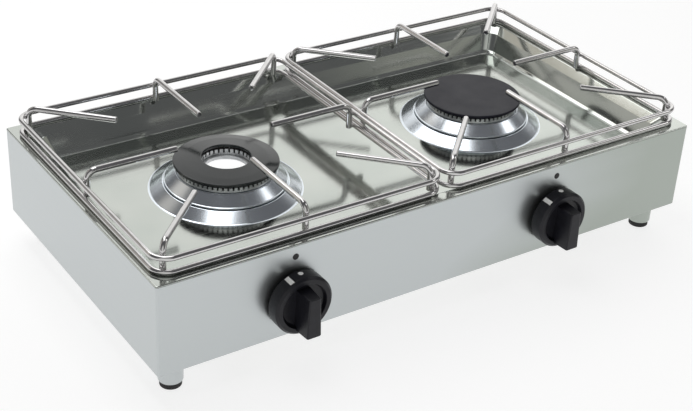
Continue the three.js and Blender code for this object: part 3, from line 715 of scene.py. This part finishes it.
def well_floor():
    """The flat floor between the walls and the two domes."""
    loops = [tray_ring(TRAY_SECTION[-1][0], WELL_DEPTH)]
    for side in SIDES:
        circle, _ = revolve([(DOME_BASE + DOME_BEND, FLOOR)], sides=96, closed=False)
        loops.append([at_burner(side) @ Vector(point) for point in circle])
    edit = bmesh.new()
    edges = []
    for loop in loops:
        corners = [edit.verts.new(point) for point in loop]
        edges += [edit.edges.new((corners[i - 1], corners[i])) for i in range(len(corners))]
    bmesh.ops.triangle_fill(edit, edges=edges, use_beauty=True)
    bmesh.ops.recalc_face_normals(edit, faces=edit.faces)
    edit.verts.index_update()
    points = [vert.co.copy() for vert in edit.verts]
    faces = []
    for face in edit.faces:
        corners = [vert.index for vert in face.verts]
        faces.append(corners if face.normal.z > 0 else corners[::-1])
    edit.free()
    return points, faces


# ---- feet -----------------------------------------------------------------------------------


def foot(name):
    """A steel sleeve with a threaded pin on top, and the rubber pad pushed into its lower end."""
    middle = node_middle(f"{name}_pad")
    place = Matrix.Translation((middle.x, middle.y, 0))
    sleeve_radius, pad_radius, plug_radius, pin_radius = 11.3, 10, 8, 3
    gap = 0.3
    pad_top, plug_top, socket_top, pin_top = 5.2, 14, 16, 41
    sleeve_bottom, sleeve_top = pad_top + gap, BODY_BOTTOM - gap
    sleeve = soften(
        [
            (0, socket_top, 0),
            (plug_radius + gap, socket_top, 0),
            (plug_radius + gap, sleeve_bottom, 0.2),
            (sleeve_radius, sleeve_bottom, 1.6),
            (sleeve_radius, sleeve_top, 0.6),
            (pin_radius, sleeve_top, 0),
            (pin_radius, pin_top, 0.5),
            (0, pin_top, 0),
        ]
    )
    pad = soften(
        [
            (0, 0, 0),
            (pad_radius, 0, 1),
            (pad_radius, pad_top, 0.3),
            (plug_radius, pad_top, 0),
            (plug_radius, plug_top, 0),
            (0, plug_top, 0),
        ]
    )
    shape = Shape().add(revolve(sleeve, 48), place)
    make_stove_piece(f"{name}_sleeve", shape, BRUSHED)
    shape = Shape().add(revolve(pad, 48), place)
    make_stove_piece(f"{name}_pad", shape, RUBBER)


housing()
hob_tray()
for row in ROWS:
    for side in SIDES:
        foot(f"{row}_{side}_foot")

# ---- burners --------------------------------------------------------------------------------


def burner_collar(side):
    """The polished cone between the dome's hole and the crown."""
    low, high = node_box(f"{side}_burner_collar")
    bottom, top = low.z + 0.6, high.z
    opening, shoulder = 43.1, 48
    under = top - SHEET
    outline = soften(
        [
            (COLLAR_FOOT - 1.6, bottom, 0.2),
            (COLLAR_FOOT, bottom, 0.3),
            (COLLAR_FOOT, bottom + 1.1, 0.5),
            (COLLAR_FOOT - 1.1, bottom + 1.5, 0.3),
            (shoulder, top, 0.8),
            (opening, top, 0.3),
            (opening, under, 0),
            (shoulder - 0.8, under, 0),
        ]
    )
    shape = Shape().add(revolve(outline, 96), at_burner(side))
    make_stove_piece(f"{side}_burner_collar", shape, SPUN)


def crown_teeth(row, low, high):
    """Upright teeth round a circle, as blocks that stand in the crown."""
    count, inner, outer, width = row
    shape = Shape()
    half = width / 2
    outline = [(inner, -half), (outer, -half), (outer, half), (inner, half)]
    tooth = slab(outline, low, high, edge=0.25, steps=2)
    for i in range(count):
        shape.add(tooth, Matrix.Rotation(2 * math.pi * i / count, 4, "Z"))
    return shape.points, shape.faces


def burner_head(side, is_ring):
    """Flange and wall, with pale teeth in front of taller near-black ones, painted shade for the
    gap under the cap.
    """
    low, high = node_box(f"{side}_burner_head")
    base = node_box(f"{side}_burner_collar")[1].z + 0.3
    top = node_box(f"{side}_burner_cap")[0].z - 0.3
    slot_floor = base + 2.2
    foot_inner, foot_outer = CROWN_FOOT
    outside = [
        (foot_inner, base, 0),
        (foot_inner, low.z, 0.3),
        (foot_outer, low.z, 0.3),
        (foot_outer, base, 0),
        (CROWN_OUTER, base, 0.4),
        (CROWN_OUTER, slot_floor, 0.3),
    ]
    if is_ring:
        wall_inner, wall_outer = PASSAGE_WALL
        wall_top = base + 4.5
        inside = [
            (wall_outer, slot_floor, 0),
            (wall_outer, wall_top, 0.2),
            (wall_inner, wall_top, 0.2),
            (wall_inner, base, 0.3),
        ]
        outline = soften(inside + outside)
    else:
        outline = soften([(0, base, 0), *outside, (0, slot_floor, 0)])
    at = at_burner(side)
    shape = Shape().add(revolve(outline, 96), at)
    root = slot_floor - 0.5
    shape.add(crown_teeth(OUTER_ROWS["pale"], root, base + 4.8), at)
    # The taller teeth take the near-black finish: painted shade for the gap under the cap.
    shape.add(crown_teeth(OUTER_ROWS["dark"], root, top), at, finish=1)
    if is_ring:
        root = wall_top - 0.5
        shape.add(crown_teeth(INNER_ROWS["pale"], root, base + 8.2), at)
        shape.add(crown_teeth(INNER_ROWS["dark"], root, high.z - 0.1), at, finish=1)
    make_piece(
        f"fine_{side}_burner_head",
        shape,
        [ALUMINIUM, SHADE_ALUMINIUM],
        f"{side}_head",
        [f"{side}_burner_head"],
    )


def burner_cap(side, is_ring):
    """A flat black disc, or for the ring burner one that rises towards a hole in its middle."""
    node = f"{side}_burner_cap"
    low, high = node_box(node)
    radius = (high.x - low.x) / 2
    if is_ring:
        hole = 23.3
        shoulder = 40
        edge_top = low.z + CAP_THICKNESS
        outline = soften(
            [
                (hole, high.z - CAP_THICKNESS, 0.4),
                (radius, low.z, 0.9),
                (radius, edge_top, 1.3),
                (shoulder, edge_top + 1.5, 12),
                (hole, high.z, 1.0),
            ],
            steps=6,
        )
        finish = RING_ENAMEL
    else:
        outline = soften(
            [(0, low.z, 0), (radius, low.z, 0.9), (radius, high.z, 1.1), (0, high.z, 0)], steps=6
        )
        finish = CAP_ENAMEL
    shape = Shape().add(revolve(outline, 128), at_burner(side))
    make_piece(f"fine_{node}", shape, finish, f"{side}_cap", [node])


def straight_tube(mouth, inner_end):
    """The mixing tube's section, as (radius, y), from its flared mouth to its inner end."""
    throat = mouth + 9
    return soften(
        [
            (MIXING_TUBE + 1.7, mouth, 0.5),
            (MIXING_TUBE + 3.5, mouth, 0.5),
            (MIXING_TUBE, throat, 4),
            (MIXING_TUBE, inner_end, 0),
            (MIXING_BORE, inner_end, 0),
            (MIXING_BORE, throat, 4),
        ]
    )


def ring_cup(seat, top):
    """A shallow ring cup with a sloping floor, open through its middle."""
    return [
        (RING_PASSAGE, seat - 0.7, 0.6),
        (CUP_OUTER, seat - 13.2, 3),
        (CUP_OUTER, seat, 0.4),
        (CUP_INNER, seat, 0.4),
        (CUP_INNER, seat - 8.8, 1),
        (PASSAGE_SEAT, seat - 1.8, 0.5),
        (PASSAGE_SEAT, seat, 0.2),
        (PASSAGE_LIP, seat, 0.2),
        (PASSAGE_LIP, top, 0.3),
        (RING_PASSAGE, top, 0.3),
    ]


def round_cup(bottom, top):
    """A plain cup with a closed floor."""
    floor = bottom + 3
    return [
        (0, bottom, 0),
        (CUP_OUTER, bottom, 4),
        (CUP_OUTER, top, 0.4),
        (CUP_INNER, top, 0.4),
        (CUP_INNER, floor, 3),
        (0, floor, 0),
    ]


def mixing_body(side, is_ring):
    """The cup and its mixing tube, cast in one."""
    low, high = node_box(f"{side}_mixing_body")
    tap = tap_axis(side)
    seat = node_box(f"{side}_burner_head")[0].z + 5.7
    cup = ring_cup(seat, high.z) if is_ring else round_cup(low.z, high.z)
    shape = Shape().add(revolve(soften(cup), 96), at_burner(side))
    turn_y = burner_centre(side).y - 26
    tube_end = turn_y - (12 if is_ring else 5)
    shape.add(revolve(straight_tube(low.y, tube_end), 40), along_y(tap.x, tap.z))
    if is_ring:
        riser = [
            (tap.x, tube_end - 0.2, tap.z, 0),
            (tap.x, turn_y, tap.z, 12),
            (tap.x, turn_y, seat - 5, 0),
        ]
        route = soften(riser, closed=False, steps=10)
        shape.add(tube(route, MIXING_TUBE, sides=40, rounding=0.1))
    make_stove_piece(f"{side}_mixing_body", shape, ALUMINIUM)


for side in SIDES:
    is_ring_burner = side == "left"
    burner_collar(side)
    burner_head(side, is_ring_burner)
    burner_cap(side, is_ring_burner)
    mixing_body(side, is_ring_burner)

# ---- gas rail, inlet and taps ---------------------------------------------------------------


def hexagon(across_corners):
    """A nut's outline."""
    angles = [math.pi / 3 * i for i in range(6)]
    radius = across_corners / 2
    return [(radius * math.cos(angle), radius * math.sin(angle)) for angle in angles]


def gas_rail():
    """The pipe behind the front panel, bent to the rear at its right end, and its end plug."""
    low, high = node_box("gas_rail")
    radius = (high.z - low.z) / 2
    y = low.y + radius
    z = low.z + radius
    right = high.x - radius
    route = soften(
        [(low.x, y, z, 0), (right, y, z, 20), (right, high.y, z, 0)], closed=False, steps=10
    )
    shape = Shape().add(tube(route, radius, sides=32, rounding=0.1))
    make_stove_piece("gas_rail", shape, TRAY)
    plug_end = node_box("rail_plug")[0].x
    cap = slab(hexagon(16), plug_end, low.x - 0.3, edge=0.5)
    turn = Matrix.Translation((0, y, z)) @ Matrix.Rotation(math.pi / 2, 4, "Y")
    shape = Shape().add(cap, turn)
    make_stove_piece("rail_plug", shape, BRASS)


def gas_inlet():
    """A union through the rear wall, with a barbed nozzle for the hose."""
    low, high = node_box("gas_inlet")
    middle = node_middle("gas_inlet")
    collar_front, collar_rear = HALF_DEPTH + 0.3, 166
    body_radius, socket_radius, neck_radius = 10, 7.3, 7
    bore_radius, barb_inner, barb_outer = 3, 5, 6.2
    socket_floor = low.y + 9
    outline = [
        (bore_radius, socket_floor, 0),
        (socket_radius, socket_floor, 0),
        (socket_radius, low.y, 0.3),
        (body_radius, low.y, 0.5),
        (body_radius, collar_rear - 1, 0),
        (neck_radius, collar_rear - 1, 0),
        (neck_radius, collar_rear + 6, 0.5),
        (barb_inner, collar_rear + 8, 0.5),
    ]
    for barb in range(3):
        y = collar_rear + 10 + 6 * barb
        outline += [(barb_outer, y, 0.3), (barb_inner, y + 5, 0.2)]
    outline += [(barb_inner, high.y, 0.5), (bore_radius, high.y, 0.3)]
    place = along_y(middle.x, middle.z)
    shape = Shape().add(revolve(soften(outline), 48), place)
    shape.add(slab(hexagon(26), collar_front, collar_rear, edge=0.6), place)
    make_stove_piece("gas_inlet", shape, BRASS)


gas_rail()
gas_inlet()


def tap_body(side):
    """Barrel, outlet and the leg that stands on the rail."""
    low, high = node_box(f"{side}_tap_body")
    centre = tap_axis(side)
    rail_y = node_box("gas_rail")[0].y + 7
    bore_end = low.y + 15.7
    shoulder = high.y - 4.4
    nose, outlet = 8, 3.3
    barrel = soften(
        [
            (TAP_BORE, bore_end, 0),
            (TAP_BORE, low.y, 0),
            (TAP_BARREL, low.y, 0.6),
            (TAP_BARREL, shoulder, 1),
            (nose, shoulder, 1),
            (nose, high.y, 0.6),
            (outlet, high.y, 0),
            (outlet, bore_end, 0),
        ]
    )
    leg_top, inlet, leg_radius = centre.z - 9, 2.2, 7
    leg = soften(
        [(inlet, low.z, 0), (leg_radius, low.z, 0.5), (leg_radius, leg_top, 0), (inlet, leg_top, 0)]
    )
    shape = Shape().add(revolve(barrel, 48), along_y(centre.x, centre.z))
    shape.add(revolve(leg, 40), Matrix.Translation((centre.x, rail_y, 0)))
    make_stove_piece(f"{side}_tap_body", shape, BRASS)


def tap_cover(side):
    """The disc that closes the barrel's front, with two screw heads."""
    low, high = node_box(f"{side}_tap_cover")
    centre = tap_axis(side)
    bore_radius = 4.2
    disc = soften(
        [
            (bore_radius, low.y, 0.2),
            (TAP_BARREL, low.y, 0.5),
            (TAP_BARREL, high.y, 0.5),
            (bore_radius, high.y, 0.2),
        ]
    )
    shape = Shape().add(revolve(disc, 48), along_y(centre.x, centre.z))
    head_radius, head_front = 2.2, low.y - 1.4
    head = soften(
        [(0, head_front, 0), (head_radius, head_front, 0.6), (head_radius, low.y, 0), (0, low.y, 0)]
    )
    for offset in (-9, 9):
        shape.add(revolve(head, 24), along_y(centre.x + offset, centre.z))
    make_stove_piece(f"{side}_tap_cover", shape, BRASS)


def injector(side):
    """The jet on the tap's outlet, with a hexagon for the spanner."""
    low, high = node_box(f"{side}_injector")
    centre = tap_axis(side)
    place = along_y(centre.x, centre.z)
    nut_front = low.y + 4.3
    nut_rear = nut_front + 4
    outline = soften(
        [
            (1, low.y, 0),
            (3, low.y, 0.3),
            (3, nut_rear, 0),
            (3.4, nut_rear, 0.2),
            (2.4, high.y, 0.4),
            (1, high.y, 0.2),
        ]
    )
    shape = Shape().add(revolve(outline, 32), place)
    shape.add(slab(hexagon(10.4), nut_front, nut_rear, edge=0.4), place)
    make_stove_piece(f"{side}_injector", shape, BRASS)


def tap_spring(side):
    """A coil spring between the tap's plug and its cover."""
    node = f"{side}_tap_spring"
    low, high = node_box(node)
    centre = tap_axis(side)
    steps = 28
    count = SPRING_COILS * steps
    length = high.y - low.y - 2 * SPRING_WIRE
    route = []
    for i in range(count + 1):
        angle = 2 * math.pi * i / steps
        x = centre.x + SPRING_RADIUS * math.cos(angle)
        y = low.y + SPRING_WIRE + length * i / count
        z = centre.z + SPRING_RADIUS * math.sin(angle)
        route.append((x, y, z))
    shape = Shape().add(tube(route, SPRING_WIRE, sides=10))
    make_piece(f"fine_{node}", shape, SPRING, f"{side}_tap_core", [node])


for side in SIDES:
    tap_body(side)
    tap_cover(side)
    injector(side)
    tap_spring(side)

# ---- knobs ----------------------------------------------------------------------------------


def knob_dial():
    """The round part, as (radius, distance from the panel)."""
    outline = soften(
        [
            (0, KNOB_GAP, 0),
            (KNOB_RADIUS, KNOB_GAP, 1),
            (KNOB_RADIUS, DIAL_FRONT - 2.2, 0.7),
            (KNOB_RADIUS - 2.2, DIAL_FRONT, 0.8),
            (DIAL_RIM, DIAL_FRONT, 0.8),
            (DIAL_RIM - 1.5, DIAL_FACE, 1.2),
            (0, DIAL_FACE, 0),
        ]
    )
    return revolve(outline, 96)


def knob_grip():
    """The bar across the dial: wider at its lower end, narrower towards its front face."""
    top_width, bottom_width = GRIP_HALF_WIDTHS
    flank = [(0, DIAL_FACE - 2, 0), (1.3, GRIP_FRONT, 1.3), (5, GRIP_FRONT, 0)]
    corner = 1.2
    rings = []
    for inset, distance in soften(flank, closed=False, steps=5):
        top, bottom = top_width - inset, bottom_width - inset
        half_length = GRIP_HALF_LENGTH - inset * 0.3
        corners = [
            (top, half_length, distance, corner),
            (-top, half_length, distance, corner),
            (-bottom, -half_length, distance, corner),
            (bottom, -half_length, distance, corner),
        ]
        rings.append(soften(corners, steps=5))
    points, faces = loft(rings, closed=False)
    last = len(points) - len(rings[0])
    faces.append(list(range(last, len(points))))
    return points, faces


def knob_marks(side):
    """A round dot and a bar, printed on the knob's rim."""
    centre = tap_axis(side)
    sunk, proud = KNOB_RADIUS - 1, KNOB_RADIUS + 0.15
    dot_radius = 2.4
    dot = soften(
        [(0, sunk, 0), (dot_radius, sunk, 0), (dot_radius, proud, 0.1), (0, proud + 0.05, 0)]
    )
    dot_y = -HALF_DEPTH - 8.5
    marks = Shape().add(revolve(dot, 32), Matrix.Translation((centre.x, dot_y, centre.z)))
    half, front, rear = 2.2, -15.4, -5
    outline = [(-half, front), (half, front), (half, rear), (-half, rear)]
    bar = slab(outline, sunk, proud, edge=0.1, steps=1)
    lean = Matrix.Rotation(math.radians(BAR_ANGLE[side]), 4, "Y")
    marks.add(bar, Matrix.Translation((centre.x, -HALF_DEPTH, centre.z)) @ lean)
    return marks


def knob(side):
    """Dial and grip in one moulding, and its printed marks."""
    node = f"{side}_knob"
    centre = tap_axis(side)
    facing = Matrix.Rotation(math.pi / 2, 4, "X")
    forward = Matrix.Translation((centre.x, -HALF_DEPTH, centre.z)) @ facing
    shape = Shape().add(knob_dial(), forward)
    shape.add(knob_grip(), forward @ Matrix.Translation((0, GRIP_SHIFT, 0)))
    make_piece(f"fine_{node}", shape, PLASTIC, f"{side}_control", [node])
    make_piece(f"{node}_marks", knob_marks(side), WHITE_PRINT, f"{side}_control")


def panel_mark(side):
    """The dark point above a knob that its marks turn to."""
    centre = tap_axis(side)
    radius = 3.1
    outline = soften([(0, -0.5, 0), (radius, -0.5, 0), (radius, 0.25, 0.2), (0, 0.45, 0)])
    facing = Matrix.Rotation(math.pi / 2, 4, "X")
    place = Matrix.Translation((centre.x, -HALF_DEPTH, centre.z + PANEL_MARK_RISE)) @ facing
    shape = Shape().add(revolve(outline, 32), place)
    make_piece(f"{side}_panel_mark", shape, BLACK_PRINT, "stove")


for side in SIDES:
    knob(side)
    panel_mark(side)

# ---- pan supports ---------------------------------------------------------------------------


def support_ring(side, level):
    """A closed rectangle of wire with round corners."""
    node = f"{side}_support_{level}_ring"
    low, high = node_box(node)
    radius = (high.z - low.z) / 2
    half = (high - low) / 2
    route = rectangle_ring(half.x - radius, half.y - radius, RING_CORNER, 0, steps=12)
    shape = Shape().add(tube(route, radius, closed=True), Matrix.Translation((low + high) / 2))
    make_piece(f"fine_{node}", shape, WIRE, f"{side}_support", [node])


def bead(place, size, rows=8):
    """A lump of weld, taller than it is wide."""
    outline = []
    for row in range(rows + 1):
        angle = math.pi * row / rows
        outline.append((size * math.sin(angle), -size * math.cos(angle)))
    return revolve(outline, 16), Matrix.Translation(place) @ Matrix.Diagonal((1, 1, 1.4, 1))


def finger_place(low, high, sign, edge):
    """Where a finger stands on one axis: this far in from its box's near side, or in the middle."""
    if sign == 0:
        return (low + high) / 2
    return high - edge if sign > 0 else low + edge


def support_finger(side, name, outward):
    """A post that bends over and runs towards the middle, with a weld at each ring."""
    node = f"{side}_support_{name}_finger"
    low, high = node_box(node)
    top = high.z - FINGER_RADIUS
    tip_edge = FINGER_RADIUS * 0.7 if all(outward) else 0
    post = [finger_place(low[i], high[i], outward[i], FINGER_RADIUS) for i in range(2)]
    tip = [finger_place(low[i], high[i], -outward[i], tip_edge) for i in range(2)]
    route = [(*post, low.z, 0), (*post, top, FINGER_BEND), (*tip, top, 0)]
    shape = Shape().add(tube(soften(route, closed=False, steps=8), FINGER_RADIUS))
    for level in ("lower", "upper"):
        ring_z = node_middle(f"{side}_support_{level}_ring").z
        reach = Vector((*outward, 0)).normalized() * (FINGER_RADIUS + 0.2)
        shape.add(*bead(Vector((*post, ring_z)) + reach, BEAD_SIZE))
    make_piece(f"fine_{node}", shape, WIRE, f"{side}_support", [node])


for side in SIDES:
    support_ring(side, "lower")
    support_ring(side, "upper")
    for name, sign in SIDES.items():
        support_finger(side, name, (sign, 0))
    for row, sign_y in ROWS.items():
        support_finger(side, row, (0, sign_y))
        for name, sign_x in SIDES.items():
            support_finger(side, f"{row}_{name}", (sign_x, sign_y))

# ---- pieces that keep their CAD shape -------------------------------------------------------

KEPT = {f"{side}_tap_{part}": BRASS for side in SIDES for part in ("plug", "stem")}
KEPT |= {f"{row}_{side}_foot_nut": BRUSHED for row in ROWS for side in SIDES}
for node, material in KEPT.items():
    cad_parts[node].data.materials[0] = material

# ---- floor, light and camera ----------------------------------------------------------------

# Lengths from here on are in metres.
FLOOR_REACH = 12
FLOOR_GREY = 0.32
FLOOR_GLOW = 0.78

WALL_COLOUR = (0.135, 0.135, 0.14)

# Glows on the studio's walls. Each has a direction, the angle in degrees round it up to which it
# is full and the one where it has faded, a colour and a strength.
GLOWS = [
    ((0.50, 0.77, 0.42), 22, 46, (1.0, 1.0, 0.98), 0.95),
    ((-0.74, 0.64, 0.15), 8, 24, (1.0, 0.98, 0.91), 0.45),
    ((0.80, 0.55, 0.05), 14, 40, (1.0, 1.0, 0.96), 0.25),
    ((-0.55, -0.80, 0.22), 12, 42, (0.99, 1.0, 0.96), 0.68),
    ((0.725, -0.308, 0.616), 3, 10, (1.0, 1.0, 1.0), 3.0),
    ((-0.50, 0.65, 0.57), 5, 17, (1.0, 0.92, 0.80), 0.55),
    ((0.80, -0.56, 0.22), 19, 24, (1.0, 1.0, 0.86), 0.24),
]

LAMP_PLACE = (-0.21, 0.46, 1.25)
LAMP_AIM = (-0.21, 0.44, 0)
LAMP_SIZE = (0.60, 1.4)
LAMP_GLOW = 2.3

CAMERA_PLACE = (-0.72662, -1.02319, 0.76822)
CAMERA_AZIMUTH = -35.150
CAMERA_ELEVATION = 30.477
CAMERA_ROLL = 3.229
CAMERA_LENS = 74.197


def floor():
    """A pale, evenly lit floor."""
    mesh = bpy.data.meshes.new("floor")
    corners = [(-1, -1), (1, -1), (1, 1), (-1, 1)]
    points = [(x * FLOOR_REACH, y * FLOOR_REACH, 0) for x, y in corners]
    mesh.from_pydata(points, [], [(0, 1, 2, 3)])
    plane = bpy.data.objects.new("floor", mesh)
    bpy.context.scene.collection.objects.link(plane)
    finish = Finish("pale_floor").set("Roughness", 0.9)
    finish.set("Base Color", (FLOOR_GREY, FLOOR_GREY, FLOOR_GREY, 1))
    finish.set("Emission Color", (1, 1, 1, 1)).set("Emission Strength", FLOOR_GLOW)
    mesh.materials.append(finish.material)


def studio_world():
    """Dim walls with soft glows on them."""
    world = bpy.data.worlds.new("studio")
    bpy.context.scene.world = world
    world.use_nodes = True
    nodes = world.node_tree.nodes
    links = world.node_tree.links
    direction = nodes.new("ShaderNodeTexCoord").outputs["Generated"]
    walls = nodes["Background"]
    walls.inputs["Color"].default_value = (*WALL_COLOUR, 1)
    light = walls.outputs["Background"]
    for towards, full, faded, colour, strength in GLOWS:
        nearness = nodes.new("ShaderNodeVectorMath")
        nearness.operation = "DOT_PRODUCT"
        nearness.inputs[1].default_value = Vector(towards).normalized()
        links.new(direction, nearness.inputs[0])
        fade = nodes.new("ShaderNodeMapRange")
        fade.interpolation_type = "SMOOTHSTEP"
        fade.inputs["From Min"].default_value = math.cos(math.radians(faded))
        fade.inputs["From Max"].default_value = math.cos(math.radians(full))
        fade.inputs["To Max"].default_value = strength
        links.new(nearness.outputs["Value"], fade.inputs["Value"])
        glow = nodes.new("ShaderNodeBackground")
        glow.inputs["Color"].default_value = (*colour, 1)
        links.new(fade.outputs["Result"], glow.inputs["Strength"])
        both = nodes.new("ShaderNodeAddShader")
        links.new(light, both.inputs[0])
        links.new(glow.outputs["Background"], both.inputs[1])
        light = both.outputs["Shader"]
    links.new(light, nodes["World Output"].inputs["Surface"])


def overhead_lamp():
    """A rectangular lamp above the stove. Its power comes from how bright its face should look."""
    width, length = LAMP_SIZE
    lamp = bpy.data.lights.new("overhead", "AREA")
    lamp.shape = "RECTANGLE"
    lamp.size = width
    lamp.size_y = length
    lamp.energy = LAMP_GLOW * math.pi * width * length
    stand = bpy.data.objects.new("overhead", lamp)
    bpy.context.scene.collection.objects.link(stand)
    stand.location = LAMP_PLACE
    aim = Vector(LAMP_AIM) - Vector(LAMP_PLACE)
    stand.rotation_euler = aim.to_track_quat("-Z", "Y").to_euler()


def camera():
    """Looks at the stove from its front left, from above, with a slight roll."""
    azimuth = math.radians(CAMERA_AZIMUTH)
    elevation = math.radians(CAMERA_ELEVATION)
    roll = math.radians(CAMERA_ROLL)
    out = math.cos(elevation)
    back = Vector((math.sin(azimuth) * out, -math.cos(azimuth) * out, math.sin(elevation)))
    level = (-back).cross(Vector((0, 0, 1))).normalized()
    top = level.cross(-back)
    right = level * math.cos(roll) + top * math.sin(roll)
    up = top * math.cos(roll) - level * math.sin(roll)
    turn = Matrix((right, up, back)).transposed().to_4x4()
    data = bpy.data.cameras.new("camera")
    data.lens = CAMERA_LENS
    data.sensor_width = 36
    data.clip_end = 100
    body = bpy.data.objects.new("camera", data)
    bpy.context.scene.collection.objects.link(body)
    body.matrix_world = Matrix.Translation(CAMERA_PLACE) @ turn
    bpy.context.scene.camera = body


floor()
studio_world()
overhead_lamp()
camera()
bpy.context.scene.view_settings.view_transform = "Standard"
